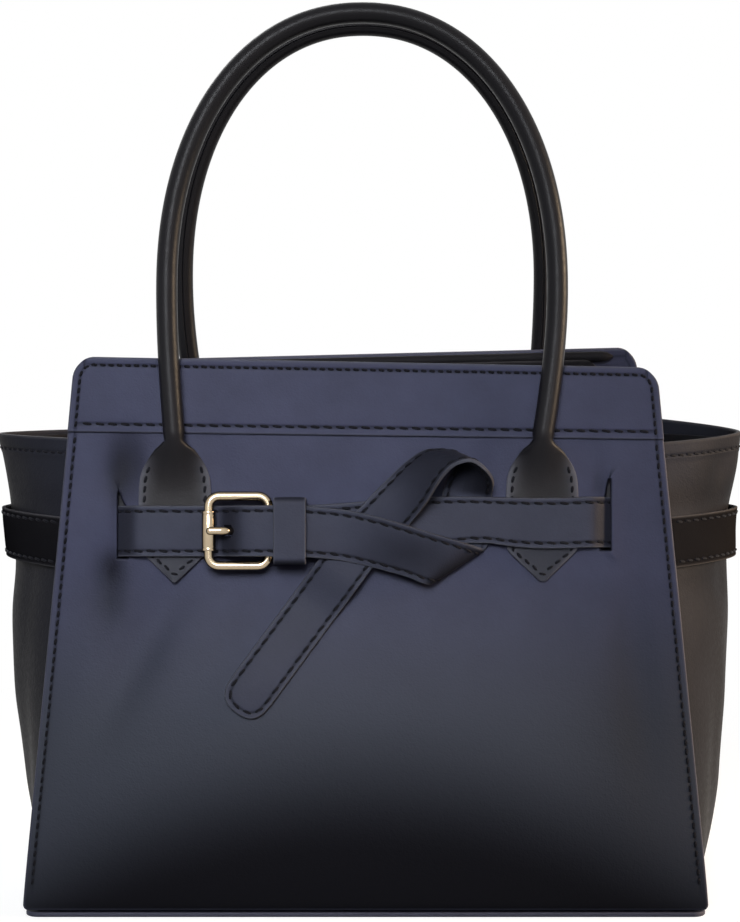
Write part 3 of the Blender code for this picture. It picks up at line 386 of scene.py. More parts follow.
# %% Closed meshes from grids
def build_mesh(name, points, quads, finish, body, edge=None, triangles=None):
    """A smooth piece from points in millimetres, turned right side out, that rides on a body."""
    first, second, third, fourth = (points[quads[:, corner]] for corner in range(4))
    volume = np.sum(first * (np.cross(second, third) + np.cross(third, fourth)))
    triangles = np.zeros((0, 3), int) if triangles is None else triangles
    if volume < 0:
        quads = quads[:, ::-1]
        triangles = triangles[:, ::-1]
    mesh = bpy.data.meshes.new(name)
    mesh.vertices.add(len(points))
    mesh.vertices.foreach_set("co", (points * MM).astype(np.float32).ravel())
    mesh.loops.add(quads.size + triangles.size)
    mesh.loops.foreach_set("vertex_index", np.concatenate([quads.ravel(), triangles.ravel()]))
    starts = np.concatenate([np.arange(len(quads)) * 4, quads.size + np.arange(len(triangles)) * 3])
    mesh.polygons.add(len(starts))
    mesh.polygons.foreach_set("loop_start", starts)
    mesh.update(calc_edges=True)
    if edge is not None:
        mesh.attributes.new("edge", "FLOAT", "POINT").data.foreach_set("value", edge.astype(np.float32))
    mesh.materials.append(finish)
    mesh.shade_smooth()
    mesh.set_sharp_from_angle(angle=math.radians(50))
    piece = bpy.data.objects.new(name, mesh)
    bpy.context.scene.collection.objects.link(piece)
    if body is not None:
        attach(piece, body)
    return piece


def grid_quads(numbers, wrap_rows=False, wrap_columns=False, keep=None):
    """Four-cornered faces between the numbered points of a grid."""
    if wrap_columns:
        numbers = np.hstack([numbers, numbers[:, :1]])
    if wrap_rows:
        numbers = np.vstack([numbers, numbers[:1]])
    quads = np.stack([numbers[:-1, :-1], numbers[:-1, 1:], numbers[1:, 1:], numbers[1:, :-1]], axis=-1)
    return quads.reshape(-1, 4) if keep is None else quads[keep]


def uncut(cut):
    """Which faces of a grid stay, where a face goes once all its four points are cut."""
    return ~(cut[:-1, :-1] & cut[1:, 1:] & cut[:-1, 1:] & cut[1:, :-1])


def skin(name, outer, inner, finish, body, edge=None, wrap_columns=False, keep=None):
    """A closed sheet from its outer and inner face, which share the points where they meet."""
    rows, columns = outer.shape[:2]
    apart = np.linalg.norm(outer - inner, axis=2) > 1e-4
    outer_numbers = np.arange(rows * columns).reshape(rows, columns)
    inner_numbers = outer_numbers.copy()
    inner_numbers[apart] = rows * columns + np.arange(apart.sum())
    points = np.vstack([outer.reshape(-1, 3), inner[apart]])
    quads = np.vstack([
        grid_quads(outer_numbers, False, wrap_columns, keep),
        grid_quads(inner_numbers, False, wrap_columns, keep)[:, ::-1],
    ])
    used, quads = np.unique(quads, return_inverse=True)
    closeness = None
    if edge is not None:
        closeness = np.concatenate([edge.ravel(), edge[apart]])[used]
    return build_mesh(name, points[used], quads.reshape(-1, 4), finish, body, closeness)


def edge_profile(thickness, radius, groove, insets):
    """Insets from an edge and the half thickness there: a groove between layers, a round and the flat."""
    turns = np.radians([0.0, 30.0, 60.0, 90.0])
    inset = list(radius * (1 - np.cos(turns)))
    half = list(thickness / 2 - radius * (1 - np.sin(turns)))
    if radius < thickness / 2 - 1e-6:
        inset.insert(0, groove)
        half.insert(0, 0.0)
    else:
        half[0] = 0.0
    flat = [value for value in insets if value > radius + 0.05]
    return np.array(inset + flat), np.array(half + [thickness / 2] * len(flat))


print("mesh helpers ready")

# %% [markdown]
# ## How the front leather moves
#
# A bag front is not a board. It swells softly over its lower half and turns under at the foot, the belt
# draws the leather in beside its two slots, and the handle's sewn feet press a hollow beside them. Sculpting
# by hand would do, but here each of these is a small bump function of the place on the wall, so that belt,
# stitches and panel can all follow the same surface. The same function paints shade on the leather beside a
# slot.

# %% Relief of the walls
SLOT_ACROSS = 110.0
LEFT_SLOT_UP = 167.0
RIGHT_SLOT_UP = 171.0
BELLY_RISE = 8.0
BELLY_TOP = 158.0
BELLY_CREST = 78.0
BELLY_TURN = 2.6
BELLY_FLATNESS = 3.0
FOOT_TUCK = 2.2
FOOT_TUCK_REACH = 7.0


def dent(across, up, middle, reach, depth, turn=0.0):
    """A smooth hollow: its middle, how far it reaches across and up, its depth and its tilt."""
    cosine, sine = math.cos(math.radians(turn)), math.sin(math.radians(turn))
    x = (across - middle[0]) * cosine + (up - middle[1]) * sine
    y = (up - middle[1]) * cosine - (across - middle[0]) * sine
    return depth * np.exp(-(x / reach[0]) ** 2 - (y / reach[1]) ** 2)


def belly(across, up):
    """How far the lower half of a wall swells out."""
    low = 1 - np.clip(1 - up / BELLY_CREST, 0, 1) ** BELLY_TURN
    high = np.clip((BELLY_TOP - up) / (BELLY_TOP - BELLY_CREST), 0, 1)
    high = high * high * (3 - 2 * high)
    aside = 1 - np.clip(np.abs(across) / wall_half_width(up), 0, 1) ** BELLY_FLATNESS
    return BELLY_RISE * low * high * aside - FOOT_TUCK * np.exp(-up / FOOT_TUCK_REACH)


# Hollows of the front: middle (across, up), reach (across, up), depth and tilt
FRONT_DENTS = (
    ((-109.0, 194.0), (7.0, 15.0), 1.3, 0.0), ((-114.0, 146.0), (7.0, 18.0), 1.2, -4.0),
    ((106.0, 190.0), (4.0, 9.0), 0.5, -4.0), ((110.0, 148.0), (9.0, 16.0), -0.7, 0.0),
    ((-100.0, 112.0), (10.0, 40.0), 2.4, -28.0), ((120.0, 100.0), (9.0, 45.0), 1.6, 6.0),
    ((-64.0, 196.0), (6.0, 12.0), 0.7, 0.0), ((58.0, 199.0), (6.0, 12.0), 0.7, 0.0),
    ((-103.0, 199.0), (5.0, 10.0), 0.6, 0.0), ((99.0, 201.0), (5.0, 9.0), 0.5, 0.0),
)
# Painted shade on the walls, by their slots and low on the right: middle, reach, share and tilt
FRONT_PAINTED_SHADE = (
    ((-105.0, 196.0), (9.0, 17.0), 0.80, 0.0), ((-110.0, 189.0), (4.2, 13.0), 0.55, 0.0),
    ((-112.5, 152.0), (6.0, 7.0), 0.70, 0.0), ((-112.0, 139.0), (8.0, 16.0), 0.74, -4.0),
    ((103.5, 189.0), (3.2, 7.0), 0.45, 0.0), ((120.0, 86.0), (25.0, 60.0), 0.42, 3.0),
)


def wall_relief(wall, across, up):
    """How far the leather of a wall lies outside its flat pattern."""
    across, up = np.broadcast_arrays(np.asarray(across, float), np.asarray(up, float))
    relief = belly(across, up)
    for middle, reach, depth, turn in FRONT_DENTS:
        relief = relief - dent(across, up, middle, reach, depth if wall == FRONT else depth / 2, turn)
    return relief


SLUMP = {FRONT: 2.45, BACK: 3.2}
SLUMP_START = 150.0
LIFT = 2.0
LIFT_START = 200.0


def slumped(wall, across, up):
    """The mouth sits askew: the front's edge hangs lower on its right, and the back's on its own right."""
    share = np.clip((up - SLUMP_START) / (WALL_HEIGHT - SLUMP_START), 0, None) ** 0.85
    lifted = LIFT * np.clip((up - LIFT_START) / (WALL_HEIGHT - LIFT_START), 0, None)
    return up + lifted - SLUMP[wall] * across / (WALL_TOP_WIDTH / 2) * share


print("belly at the crest:", round(float(belly(0.0, BELLY_CREST)), 2), "mm")

# %% [markdown]
# ## Panels and bands
#
# Each wall is one large panel with its edges turned in, and a second layer, the band, across its top. The
# grid of a panel follows its outline: lines crowd towards the edges, where the turned edge and the row of
# stitches need them, and corners are rounded by bending the square mesh there into a quarter of a disc.
# The slots for the belt are faces left out of the grid, with the leather rounded down into them.

# %% Sizes of the panels, bands and slots
PANEL_INSETS = (1.3, 2.0, 2.6, 3.0, 3.4, 3.8, 4.2, 4.8, 6.0, 8.0, 10.0)
PANEL_SPREAD = 1.2
STITCH_INSET = 3.4
STITCH_GROOVE = 0.30
STITCH_GROOVE_REACH = 0.6
GROOVE_PAINTED_SHADE = 0.55
# Between these places, to either side of the middle, the lines of a sheet's grid run straight up
SLOTTED_HALF_WIDTH = 114.5
PLAIN_SHARE = 0.86
STRAIGHT_SHARE = 0.9
STRAIGHT_LINES = 92
ROW_SPACING = 2.2
STRAP_WIDTH = 22.5
SLOT_HALF_WIDTH = 3.2
SLOT_SLACK = 0.8
SLOT_LIP = {-1: 109.4, 1: 108.0}
SLOT_LIFT = 0.7
SLOT_LIFT_REACH = 2.6
SLOT_PULL_REACH = 6.5
SLOT_FADE = 5.0
SLIT_WIDTH = 4.4
SLIT_MARGIN = 0.3
SLIT_HEADROOM = {-1: 5.0, 1: 9.0}
SLOT_ROUND = (0.0, 0.12, 0.45, 1.2)
SLOT_ROUND_HALF = (0.0, 0.42, 0.75, 0.85)
SLOT_LINES = [sign * (SLOT_HALF_WIDTH + step) for sign in (-1, 1) for step in SLOT_ROUND]
REAR_SLOT_UP = (LEFT_SLOT_UP + RIGHT_SLOT_UP) / 2
PANEL_THICKNESS = 1.7
BAND_HEIGHT = 31.2
BAND_THICKNESS = 1.2
BAND_OUT = GAP + BAND_THICKNESS
BAND_FOOT = WALL_HEIGHT - BAND_HEIGHT
TOP_RADIUS = 9.0
FOOT_RADIUS = 3.0
print("straps", STRAP_WIDTH, "mm wide leave through slots", SLOT_ACROSS, "mm from the middle")


# %% Sheets on a wall
def spread(low, high, inset, lines, fixed_low, fixed_high):
    """Line places from low to high: insets at both ends, lines between, of which the middle is fixed."""
    start = low + inset[-1]
    end = high - inset[-1]
    middle = [np.interp(line, [-1, -STRAIGHT_SHARE, STRAIGHT_SHARE, 1], [0, 1, 2, 3]) for line in lines]
    found = [low + value for value in inset]
    for line in middle:
        if line <= 1:
            found.append(start + (fixed_low - start) * line)
        elif line <= 2:
            found.append(fixed_low + (fixed_high - fixed_low) * (line - 1))
        else:
            found.append(fixed_high + (end - fixed_high) * (line - 2))
    return found + [high - value for value in inset[::-1]]


def rounded_corner(aside, above, radius):
    """Bends the square corner of a grid to a quarter disc; both distances are from the two edges."""
    p = np.clip(1 - aside / radius, 0, 1)
    q = np.clip(1 - above / radius, 0, 1)
    inside = (p > 0) & (q > 0)
    reach = np.maximum(p, q)
    low, high = np.minimum(p, q), np.where(reach > 0, reach, 1)
    angle = math.pi / 4 * low / high
    angle = np.where(p >= q, angle, math.pi / 2 - angle)
    new_aside = np.where(inside, radius * (1 - reach * np.cos(angle)), aside)
    new_above = np.where(inside, radius * (1 - reach * np.sin(angle)), above)
    return new_aside, new_above


def panel_half_width(up):
    """The soft edge of a wall stands a little outside its pattern."""
    return wall_half_width(up) + PANEL_SPREAD


def groove_share(distance):
    """How deep a stitched groove is at a distance from the edge that it follows, 1 at its middle."""
    return np.exp(-((distance - STITCH_INSET) / STITCH_GROOVE_REACH) ** 2)


def slot_bend(slot, across, up):
    """Distance from a slot, how far its slit moves the leather aside, and how far its outer lip lifts."""
    side, low_up, high_up = slot
    beside = side * across - SLOT_ACROSS
    beyond = np.abs(beside) - SLOT_HALF_WIDTH
    above = np.maximum(low_up - up, up - high_up)
    strap_top = low_up + SLOT_SLACK + STRAP_WIDTH
    width = np.interp(up, [strap_top - 2.0, strap_top + 0.5, high_up - 2.0, high_up],
                      [SLIT_WIDTH, SLIT_WIDTH / 2, SLIT_WIDTH / 4, SLIT_WIDTH / 8])
    outer_edge = SLOT_LIP[side] + SLIT_MARGIN
    inner_shift = outer_edge - width - (SLOT_ACROSS - SLOT_HALF_WIDTH)
    outer_shift = outer_edge - (SLOT_ACROSS + SLOT_HALF_WIDTH)
    share = np.interp(beside, [-SLOT_HALF_WIDTH, SLOT_HALF_WIDTH], [0, 1])
    shift = inner_shift + (outer_shift - inner_shift) * share
    fade = np.exp(-(np.clip(above, 0, None) / SLOT_FADE) ** 2)
    outside = np.clip(beyond, 0, None)
    moved = side * shift * fade * np.exp(-(outside / SLOT_PULL_REACH) ** 2)
    lifted = SLOT_LIFT * fade * (beside > 0) * np.exp(-(outside / SLOT_LIFT_REACH) ** 2)
    return np.maximum(beyond, above), moved, lifted


def sheet_rows(low, high, inset, slots):
    """Heights of a sheet's rows: crowded at both edges and at the ends of its slots."""
    count = max(int((high - low - 2 * inset[-1]) / ROW_SPACING), 3)
    between = np.linspace(low + inset[-1], high - inset[-1], count)[1:-1]
    rows = [*(low + inset), *between, *(high - inset[::-1])]
    for _, low_up, high_up in slots:
        rows += [end + sign * step for end, sign in ((low_up, -1), (high_up, 1)) for step in SLOT_ROUND]
    rows = np.array(sorted(rows))
    return rows[np.concatenate([[True], np.diff(rows) > 0.02])]


def wall_sheet(name, wall, up_range, out, thickness, finish, half_width=panel_half_width, foot_radius=0.0,
               slots=(), follow=1.0, stitch_rows=("sides", "top")):
    """A leather sheet on a wall between two heights, its outer face this far out."""
    inset, half = edge_profile(thickness, thickness / 2, 0.0, PANEL_INSETS)
    low, high = up_range
    fixed = SLOTTED_HALF_WIDTH if slots else PLAIN_SHARE * (half_width(high) - inset[-1])
    straight = list(np.linspace(-fixed, fixed, STRAIGHT_LINES))
    if slots:
        straight += [side * (SLOT_ACROSS + offset) for side in (-1, 1) for offset in SLOT_LINES]
    straight = np.unique(np.round(straight, 3))
    lines = [-0.98, -0.96, -0.94, -0.92, *(straight / fixed * STRAIGHT_SHARE), 0.92, 0.94, 0.96, 0.98]
    heights = sheet_rows(low, high, inset, slots)
    across = np.array([
        spread(-half_width(up), half_width(up), inset, lines, -fixed, fixed) for up in heights
    ])
    up = np.repeat(heights[:, None], across.shape[1], axis=1)
    aside = half_width(up) - np.abs(across)
    new_aside, new_above = rounded_corner(aside, high - up, TOP_RADIUS)
    across = np.sign(across) * (half_width(up) - new_aside)
    up = np.where(new_above != high - up, high - new_above, up)
    if foot_radius:
        new_aside, new_below = rounded_corner(aside, up - low, foot_radius)
        moved = new_below != up - low
        across = np.where(moved, np.sign(across) * (half_width(up) - new_aside), across)
        up = np.where(moved, low + new_below, up)
    edge_distance = np.minimum(aside, np.minimum(high - up, up - low))
    sizes = np.interp(edge_distance, inset, half)
    sizes[0], sizes[-1], sizes[:, 0], sizes[:, -1] = 0, 0, 0, 0
    keep = np.ones((across.shape[0] - 1, across.shape[1] - 1), bool)
    lip = np.zeros_like(across)
    for slot in slots:
        away, moved, lifted = slot_bend(slot, across, up)
        rounded = np.minimum(sizes, np.interp(away, SLOT_ROUND, SLOT_ROUND_HALF))
        sizes = np.where(away < SLOT_ROUND[-1], rounded, sizes)
        keep &= uncut(away < 0.01)
        across = across + moved
        lip += lifted
    groove = np.zeros_like(across)
    if "sides" in stitch_rows:
        groove += groove_share(aside) * np.clip((up - 6) / 8, 0, 1)
    for row, distance in (("top", high - up), ("foot", up - low)):
        if row in stitch_rows:
            groove += groove_share(distance) * (aside > STITCH_INSET)
    groove = np.clip(groove, 0, 1)
    relief = follow * wall_relief(wall, across, up) + lip
    middle_out = out - thickness / 2 + relief
    placed = slumped(wall, across, up)
    outer = on_wall(wall, across, placed, middle_out + sizes - STITCH_GROOVE * groove * (sizes > 0))
    inner = on_wall(wall, across, placed, middle_out - sizes)
    # Paler edges: partly edge wear, partly a painted highlight
    edge = np.clip(1.1 - edge_distance / 1.1, 0, 1)
    # Painted shade by the slots and in one lower corner
    if slots:
        for shade in FRONT_PAINTED_SHADE:
            edge = edge - dent(across, up, *shade)
    # Painted shade in the stitched grooves
    edge = np.clip(edge - GROOVE_PAINTED_SHADE * groove, -1, 1)
    return skin(name, outer, inner, finish, "bag", edge, keep=keep)


print("sheet helpers ready")


# %% Panels and bands
def slit(side, up):
    """Side, lowest and highest place of the slit for a strap at this height."""
    return side, up - STRAP_WIDTH / 2 - SLOT_SLACK, up + STRAP_WIDTH / 2 + SLIT_HEADROOM[side]


for word, wall, slots in (
    ("front", FRONT, (slit(-1, LEFT_SLOT_UP), slit(1, RIGHT_SLOT_UP))),
    ("back", BACK, (slit(-1, REAR_SLOT_UP), slit(1, REAR_SLOT_UP))),
):
    panel = wall_sheet(
        word + "_panel_leather", wall, (0.0, WALL_HEIGHT), 0.0, PANEL_THICKNESS, panel_leather,
        foot_radius=FOOT_RADIUS, slots=slots,
    )
    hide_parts(word + "_panel")
    band = wall_sheet(
        word + "_band_leather", wall, (BAND_FOOT, WALL_HEIGHT), BAND_OUT, BAND_THICKNESS, panel_leather,
        stitch_rows=("sides", "top", "foot"),
    )
    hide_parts(word + "_top_band")
    print(panel.name, len(panel.data.polygons), band.name, len(band.data.polygons))

# %% [markdown]
# ## A row of stitches
#
# Saddle stitches are short, thick dashes that dive into the leather at both ends and lean a little. A
# texture could fake them, but they catch light and cast shadows, so each is a small capsule of thread. A
# function lays any number of them along a run: a line of points on the leather with the direction that is
# out of the leather at each.

# %% Stitches along a run
BELT_PITCH = 5.6
TOP_PITCH = 3.75
SIDE_PITCH = 4.1
STITCH_SHARE = 0.76
THREAD_RADIUS = 0.68
STITCH_LEAN = 9.0
STITCH_SIDES = 6
CAPSULE_ALONG = np.array([-1.0, -0.9, -0.55, 0.0, 0.55, 0.9, 1.0])
CAPSULE_SIZE = np.array([0.30, 0.70, 0.97, 1.0, 0.97, 0.70, 0.30])
CAPSULE_RISE = np.array([-0.75, -0.42, -0.04, 0.06, -0.04, -0.42, -0.75])


def stitch_run(points, outwards, pitch):
    """Points and faces of the stitches along one run."""
    length = lengths_along(points)
    count = max(int(round(length[-1] / pitch)), 1)
    places = (np.arange(count) + 0.5) * length[-1] / count
    size = STITCH_SHARE * length[-1] / count / 2
    middle = at_lengths(points, length, places)
    along = unit(at_lengths(points, length, places + 0.5) - at_lengths(points, length, places - 0.5))
    normal = at_lengths(outwards, length, places)
    normal = unit(normal - along * np.sum(along * normal, axis=1, keepdims=True))
    aside = np.cross(normal, along)
    lean = math.radians(STITCH_LEAN)
    heading = along * math.cos(lean) - aside * math.sin(lean)
    across = along * math.sin(lean) + aside * math.cos(lean)
    turn = full_turn(STITCH_SIDES)
    girth = (CAPSULE_SIZE * THREAD_RADIUS)[:, None]
    rise = (CAPSULE_RISE * THREAD_RADIUS)[:, None] + girth * np.sin(turn)
    ring = (
        middle[:, None, None]
        + heading[:, None, None] * (size * CAPSULE_ALONG)[:, None, None]
        + normal[:, None, None] * rise[..., None]
        + across[:, None, None] * (girth * np.cos(turn))[..., None]
    )
    rings = len(CAPSULE_ALONG)
    numbers = np.arange(count * rings * STITCH_SIDES).reshape(count, rings, STITCH_SIDES)
    quads = np.vstack([grid_quads(one, wrap_columns=True) for one in numbers])
    caps = np.vstack([
        numbers[:, 0, [0, 3, 2, 1]], numbers[:, 0, [0, 5, 4, 3]],
        numbers[:, -1, [0, 1, 2, 3]], numbers[:, -1, [0, 3, 4, 5]],
    ])
    return ring.reshape(-1, 3), np.vstack([quads, caps])


def sew(name, runs, body="bag"):
    """One thread piece from many runs of (points, outward directions, pitch)."""
    points, quads, total = [], [], 0
    for run in runs:
        found, faces = stitch_run(*run)
        points.append(found)
        quads.append(faces + total)
        total += len(found)
    return build_mesh(name, np.vstack(points), np.vstack(quads), black_thread, body)


def wall_run(wall, across, up, out, pitch, follow=1.0):
    """A run on a wall's leather, with the leather's own outward direction."""
    def surface(across, up):
        return on_wall(wall, across, slumped(wall, across, up), out + follow * wall_relief(wall, across, up))

    across, up = np.asarray(across, float), np.asarray(up, float)
    points = surface(across, up)
    right = surface(across + 0.2, up) - surface(across - 0.2, up)
    above = surface(across, up + 0.2) - surface(across, up - 0.2)
    return points, np.cross(right, above), pitch


# %% Stitches of the panels and bands
RUN_POINTS = 90
RUN_FOOT = 11.0
BAND_STEP = 1.5


def side_and_top_runs(wall):
    """Up both sides, round the band's top and corners, and along its foot."""
    up = np.linspace(RUN_FOOT, BAND_FOOT - BAND_STEP, RUN_POINTS)
    runs = [wall_run(wall, side * (panel_half_width(up) - STITCH_INSET), up, -STITCH_GROOVE / 2, SIDE_PITCH)
            for side in (-1, 1)]
    corner = TOP_RADIUS - STITCH_INSET
    turn = np.radians(np.linspace(0, 90, 12))
    start = np.linspace(BAND_FOOT + BAND_STEP, WALL_HEIGHT - TOP_RADIUS, 14)[:-1]
    right_up = np.concatenate([start, WALL_HEIGHT - TOP_RADIUS + corner * np.sin(turn)])
    right_in = np.concatenate([np.full_like(start, STITCH_INSET), TOP_RADIUS - corner * np.cos(turn)])
    right = panel_half_width(right_up) - right_in
    top = np.linspace(right[-1], -right[-1], RUN_POINTS)[1:-1]
    across = np.concatenate([right, top, -right[::-1]])
    ups = np.concatenate([right_up, np.full_like(top, WALL_HEIGHT - STITCH_INSET), right_up[::-1]])
    runs.append(wall_run(wall, across, ups, BAND_OUT - STITCH_GROOVE / 2, TOP_PITCH))
    foot = np.linspace(-1, 1, RUN_POINTS) * (panel_half_width(BAND_FOOT) - 6.0)
    foot_up = np.full_like(foot, BAND_FOOT + STITCH_INSET)
    runs.append(wall_run(wall, foot, foot_up, BAND_OUT - STITCH_GROOVE / 2, BELT_PITCH))
    return runs


wall_thread = sew("wall_stitches", side_and_top_runs(FRONT) + side_and_top_runs(BACK))
print("wall stitches:", len(wall_thread.data.vertices) // (len(CAPSULE_ALONG) * STITCH_SIDES))

# %% [markdown]
# ## Winged sides
#
# The sides are gussets that fold outwards like wings. They are soft, so they hold shallow folds, and their
# top edge is turned over and hemmed. Each is a curve in plan, from the front seam out to the fold and back
# to the rear seam, that changes with height. A surface drawn from that rule stays true to the solid, and
# the folds are added along its own outward direction.

# %% The wing's curve
SIDE_HEIGHT = 207.0
SIDE_THICKNESS = 1.6
SIDE_SEAM_INSET = 4.5
SIDE_FLANGE = 6.5
SIDE_FOOT_INSET = 1.5
SIDE_FOOT = BASE_THICKNESS + 3 * GAP
WING_REACH = 21.5
WING_HEIGHT_SHARES = (0.0, 0.04, 0.10, 0.21, 0.40, 0.58, 0.72, 0.79, 0.86, 0.93, 1.0)
WING_REACH_SHARES = (0.0, 0.18, 0.35, 0.56, 0.74, 0.79, 0.77, 0.75, 0.765, 0.86, 1.0)
WING_ROUNDNESS = 1.6


def softened(values, reach, step):
    """Values at even steps, averaged with their neighbours over a reach; the ends stay."""
    count = max(int(3 * reach / step), 1)
    kernel = np.exp(-(np.arange(-count, count + 1) * step / reach) ** 2 / 2)
    kernel /= kernel.sum()
    values = np.asarray(values, float)
    before = 2 * values[0] - values[count:0:-1]
    after = 2 * values[-1] - values[-2:-count - 2:-1]
    padded = np.concatenate([before, values, after])
    if padded.ndim == 1:
        return np.convolve(padded, kernel, "valid")
    return np.stack([np.convolve(padded[:, k], kernel, "valid") for k in range(padded.shape[1])], axis=1)


WING_STEPS = np.linspace(0.0, 1.0, 201)
WING_REACHES = softened(np.interp(WING_STEPS, WING_HEIGHT_SHARES, WING_REACH_SHARES), 0.022, 0.005)


def wall_inner_depth(height, inset):
    """How far from the middle a wall stands at a height, less an inset from its outer face."""
    return BASE_DEPTH / 2 - (height - WALL_FOOT) * math.tan(LEAN) - inset / math.cos(LEAN)


# How far each soft wing has settled outwards of its pattern, by height
WING_SWAY = {
    -1: ((10.0, -2.0), (35.0, -3.8), (54.0, -3.8), (73.0, -3.3), (91.0, -2.3), (129.0, -1.6), (148.0, -3.6),
         (170.0, -1.3), (186.0, -0.8), (207.0, -0.6)),
    1: ((10.0, 4.0), (35.0, 3.3), (54.0, 2.3), (91.0, 1.9), (129.0, 2.8), (148.0, 1.9), (167.0, 1.4),
        (186.0, 4.0), (195.0, 3.7), (207.0, 2.0)),
}
SWAY_HEIGHTS = np.arange(0.0, 230.0, 2.0)
SWAYS = {side: softened(np.interp(SWAY_HEIGHTS, *zip(*rows)), 5.0, 2.0) for side, rows in WING_SWAY.items()}


def wing_curve(side, height, fold_extra=0.0, count=161):
    """Plan points (outwards, depth) of a wing at a height, from the front seam to the back seam."""
    fold_extra = fold_extra + float(np.interp(height, SWAY_HEIGHTS, SWAYS[side]))
    share = (height - SIDE_FOOT) / (SIDE_HEIGHT - SIDE_FOOT)
    seam = wall_half_width((height - WALL_FOOT) / math.cos(LEAN)) - SIDE_SEAM_INSET
    fold = BASE_WIDTH / 2 - SIDE_FOOT_INSET + WING_REACH * float(np.interp(share, WING_STEPS, WING_REACHES))
    depth = wall_inner_depth(height, WALL_THICKNESS + GAP + SIDE_THICKNESS / 2)
    across = np.linspace(-1, 1, count)
    bulge = 1 - np.abs(across) ** WING_ROUNDNESS
    return np.stack([seam + (fold + fold_extra - seam) * bulge, across * depth], axis=1)


def with_flanges(curve, length):
    """Adds the flat seam allowance at both ends, with the turn of the leather between."""
    line = np.vstack([curve[0] - [length, 0], curve, curve[-1] - [length, 0]])
    steps = lengths_along(line)
    places = np.linspace(0, steps[-1], 320)
    return softened(at_lengths(line, steps, places), 1.1, places[1])


def plan_normals(curve):
    """The direction to the right of a curve in plan, at each of its points."""
    along = unit(np.gradient(curve, axis=0))
    return np.stack([along[:, 1], -along[:, 0]], axis=1)


# Soft folds of the sides: share of the depth, height, reach (depth share, height) and how far out
WING_FOLDS = (
    (0.45, 60.0, 0.16, 42.0, -1.6), (-0.42, 66.0, 0.15, 50.0, -1.5), (0.0, 40.0, 0.20, 30.0, 0.8),
    (0.55, 140.0, 0.13, 30.0, -0.9), (-0.55, 128.0, 0.14, 34.0, -1.0), (-0.15, 120.0, 0.16, 26.0, -0.8),
    (0.18, 96.0, 0.14, 30.0, 0.7), (-0.30, 192.0, 0.14, 9.0, -0.5), (0.36, 190.0, 0.16, 10.0, -0.6),
)


# How far the rim of each wing has risen at its front seam, in its middle and at its back seam
WING_RIM_LIFT = {-1: (2.1, 1.3, 0.0), 1: (0.0, 2.3, 6.3)}
RIM_LIFT_START = 170.0


def wing_rise(side, depth_share, height):
    """Height that the slack of a wing's rim adds."""
    front, middle, back = WING_RIM_LIFT[side]
    risen = middle + (back - front) / 2 * depth_share + ((back + front) / 2 - middle) * depth_share ** 2
    return risen * np.clip((height - RIM_LIFT_START) / (SIDE_HEIGHT - RIM_LIFT_START), 0, 1) ** 2


# The right wing also has a fold that runs down and out from under its strap, and one under its rim
RIGHT_WING_FOLDS = (
    (-0.62, 122.0, 0.20, 16.0, 1.7), (-0.30, 142.0, 0.16, 12.0, -1.6), (-0.30, 96.0, 0.16, 30.0, 1.0),
    (-0.70, 196.0, 0.18, 9.0, 1.3), (-0.42, 192.0, 0.10, 10.0, -1.2), (-0.15, 196.0, 0.14, 10.0, 0.9),
)


def wing_folds(side, depth_share, height):
    """How far the soft folds of a wing lift its leather outwards."""
    lifted = np.zeros_like(depth_share)
    folds = [(side * middle, *rest) for middle, *rest in WING_FOLDS]
    if side > 0:
        folds += RIGHT_WING_FOLDS
    for middle, up, reach, tall, rise in folds:
        tilt = side * (height - up) * 0.0012
        lifted = lifted + rise * np.exp(
            -((depth_share - middle - tilt) / reach) ** 2 - ((height - up) / tall) ** 2
        )
    return lifted * np.clip(1.15 - np.abs(depth_share), 0, 1)


print("wing stands out", round(float(wing_curve(1, SIDE_HEIGHT)[:, 0].max()), 1), "mm at the top")

# %% The winged sides
HEM_HEIGHT = 6.2
HEM_DEPTH = 8.2
HEM_RISE = 0.35
HEM_GROOVE = 0.42
WING_ROWS = 78
SIDE_INSETS = (1.3, 2.2, 3.4, 4.6, 5.4, 5.9, 6.2, 6.5, 7.0, 7.6, 8.6, 10.0)
SIDE_EVERY = 4
# Painted shade on each wing, mostly beside its strap, and over the whole left wing: middle (share of the
# depth, height), reach and share
WING_PAINTED_SHADE = {
    -1: (((0.0, 110.0), (9.0, 90.0), 0.40), ((-0.5, 182.0), (9.0, 7.0), 0.3)),
    1: (((0.0, 182.0), (9.0, 6.5), 0.75), ((-0.30, 140.0), (0.34, 15.0), 0.75),
        ((-0.68, 147.0), (0.30, 7.0), 0.55), ((-0.50, 193.0), (0.14, 11.0), 0.55),
        ((-0.95, 80.0), (0.22, 60.0), 0.40)),
}


def wing_surface(side, heights, lift):
    """Points of a wing at heights, moved outwards by lift, with the direction that is out of the leather."""
    points, normals = [], []
    for height in heights:
        curve = with_flanges(wing_curve(side, height), SIDE_FLANGE)[::SIDE_EVERY]
        normal = plan_normals(curve)
        limit = wall_inner_depth(height, WALL_THICKNESS + GAP + SIDE_THICKNESS / 2)
        share = curve[:, 1] / limit
        rise = lift + wing_folds(side, share, height)
        moved = curve + normal * np.reshape(rise, (-1, 1))
        tall = height + wing_rise(side, np.clip(share, -1, 1), height)
        points.append(np.column_stack([side * moved[:, 0], moved[:, 1], tall]))
        normals.append(np.column_stack([side * normal[:, 0], normal[:, 1], np.zeros(len(moved))]))
    return np.array(points), np.array(normals)


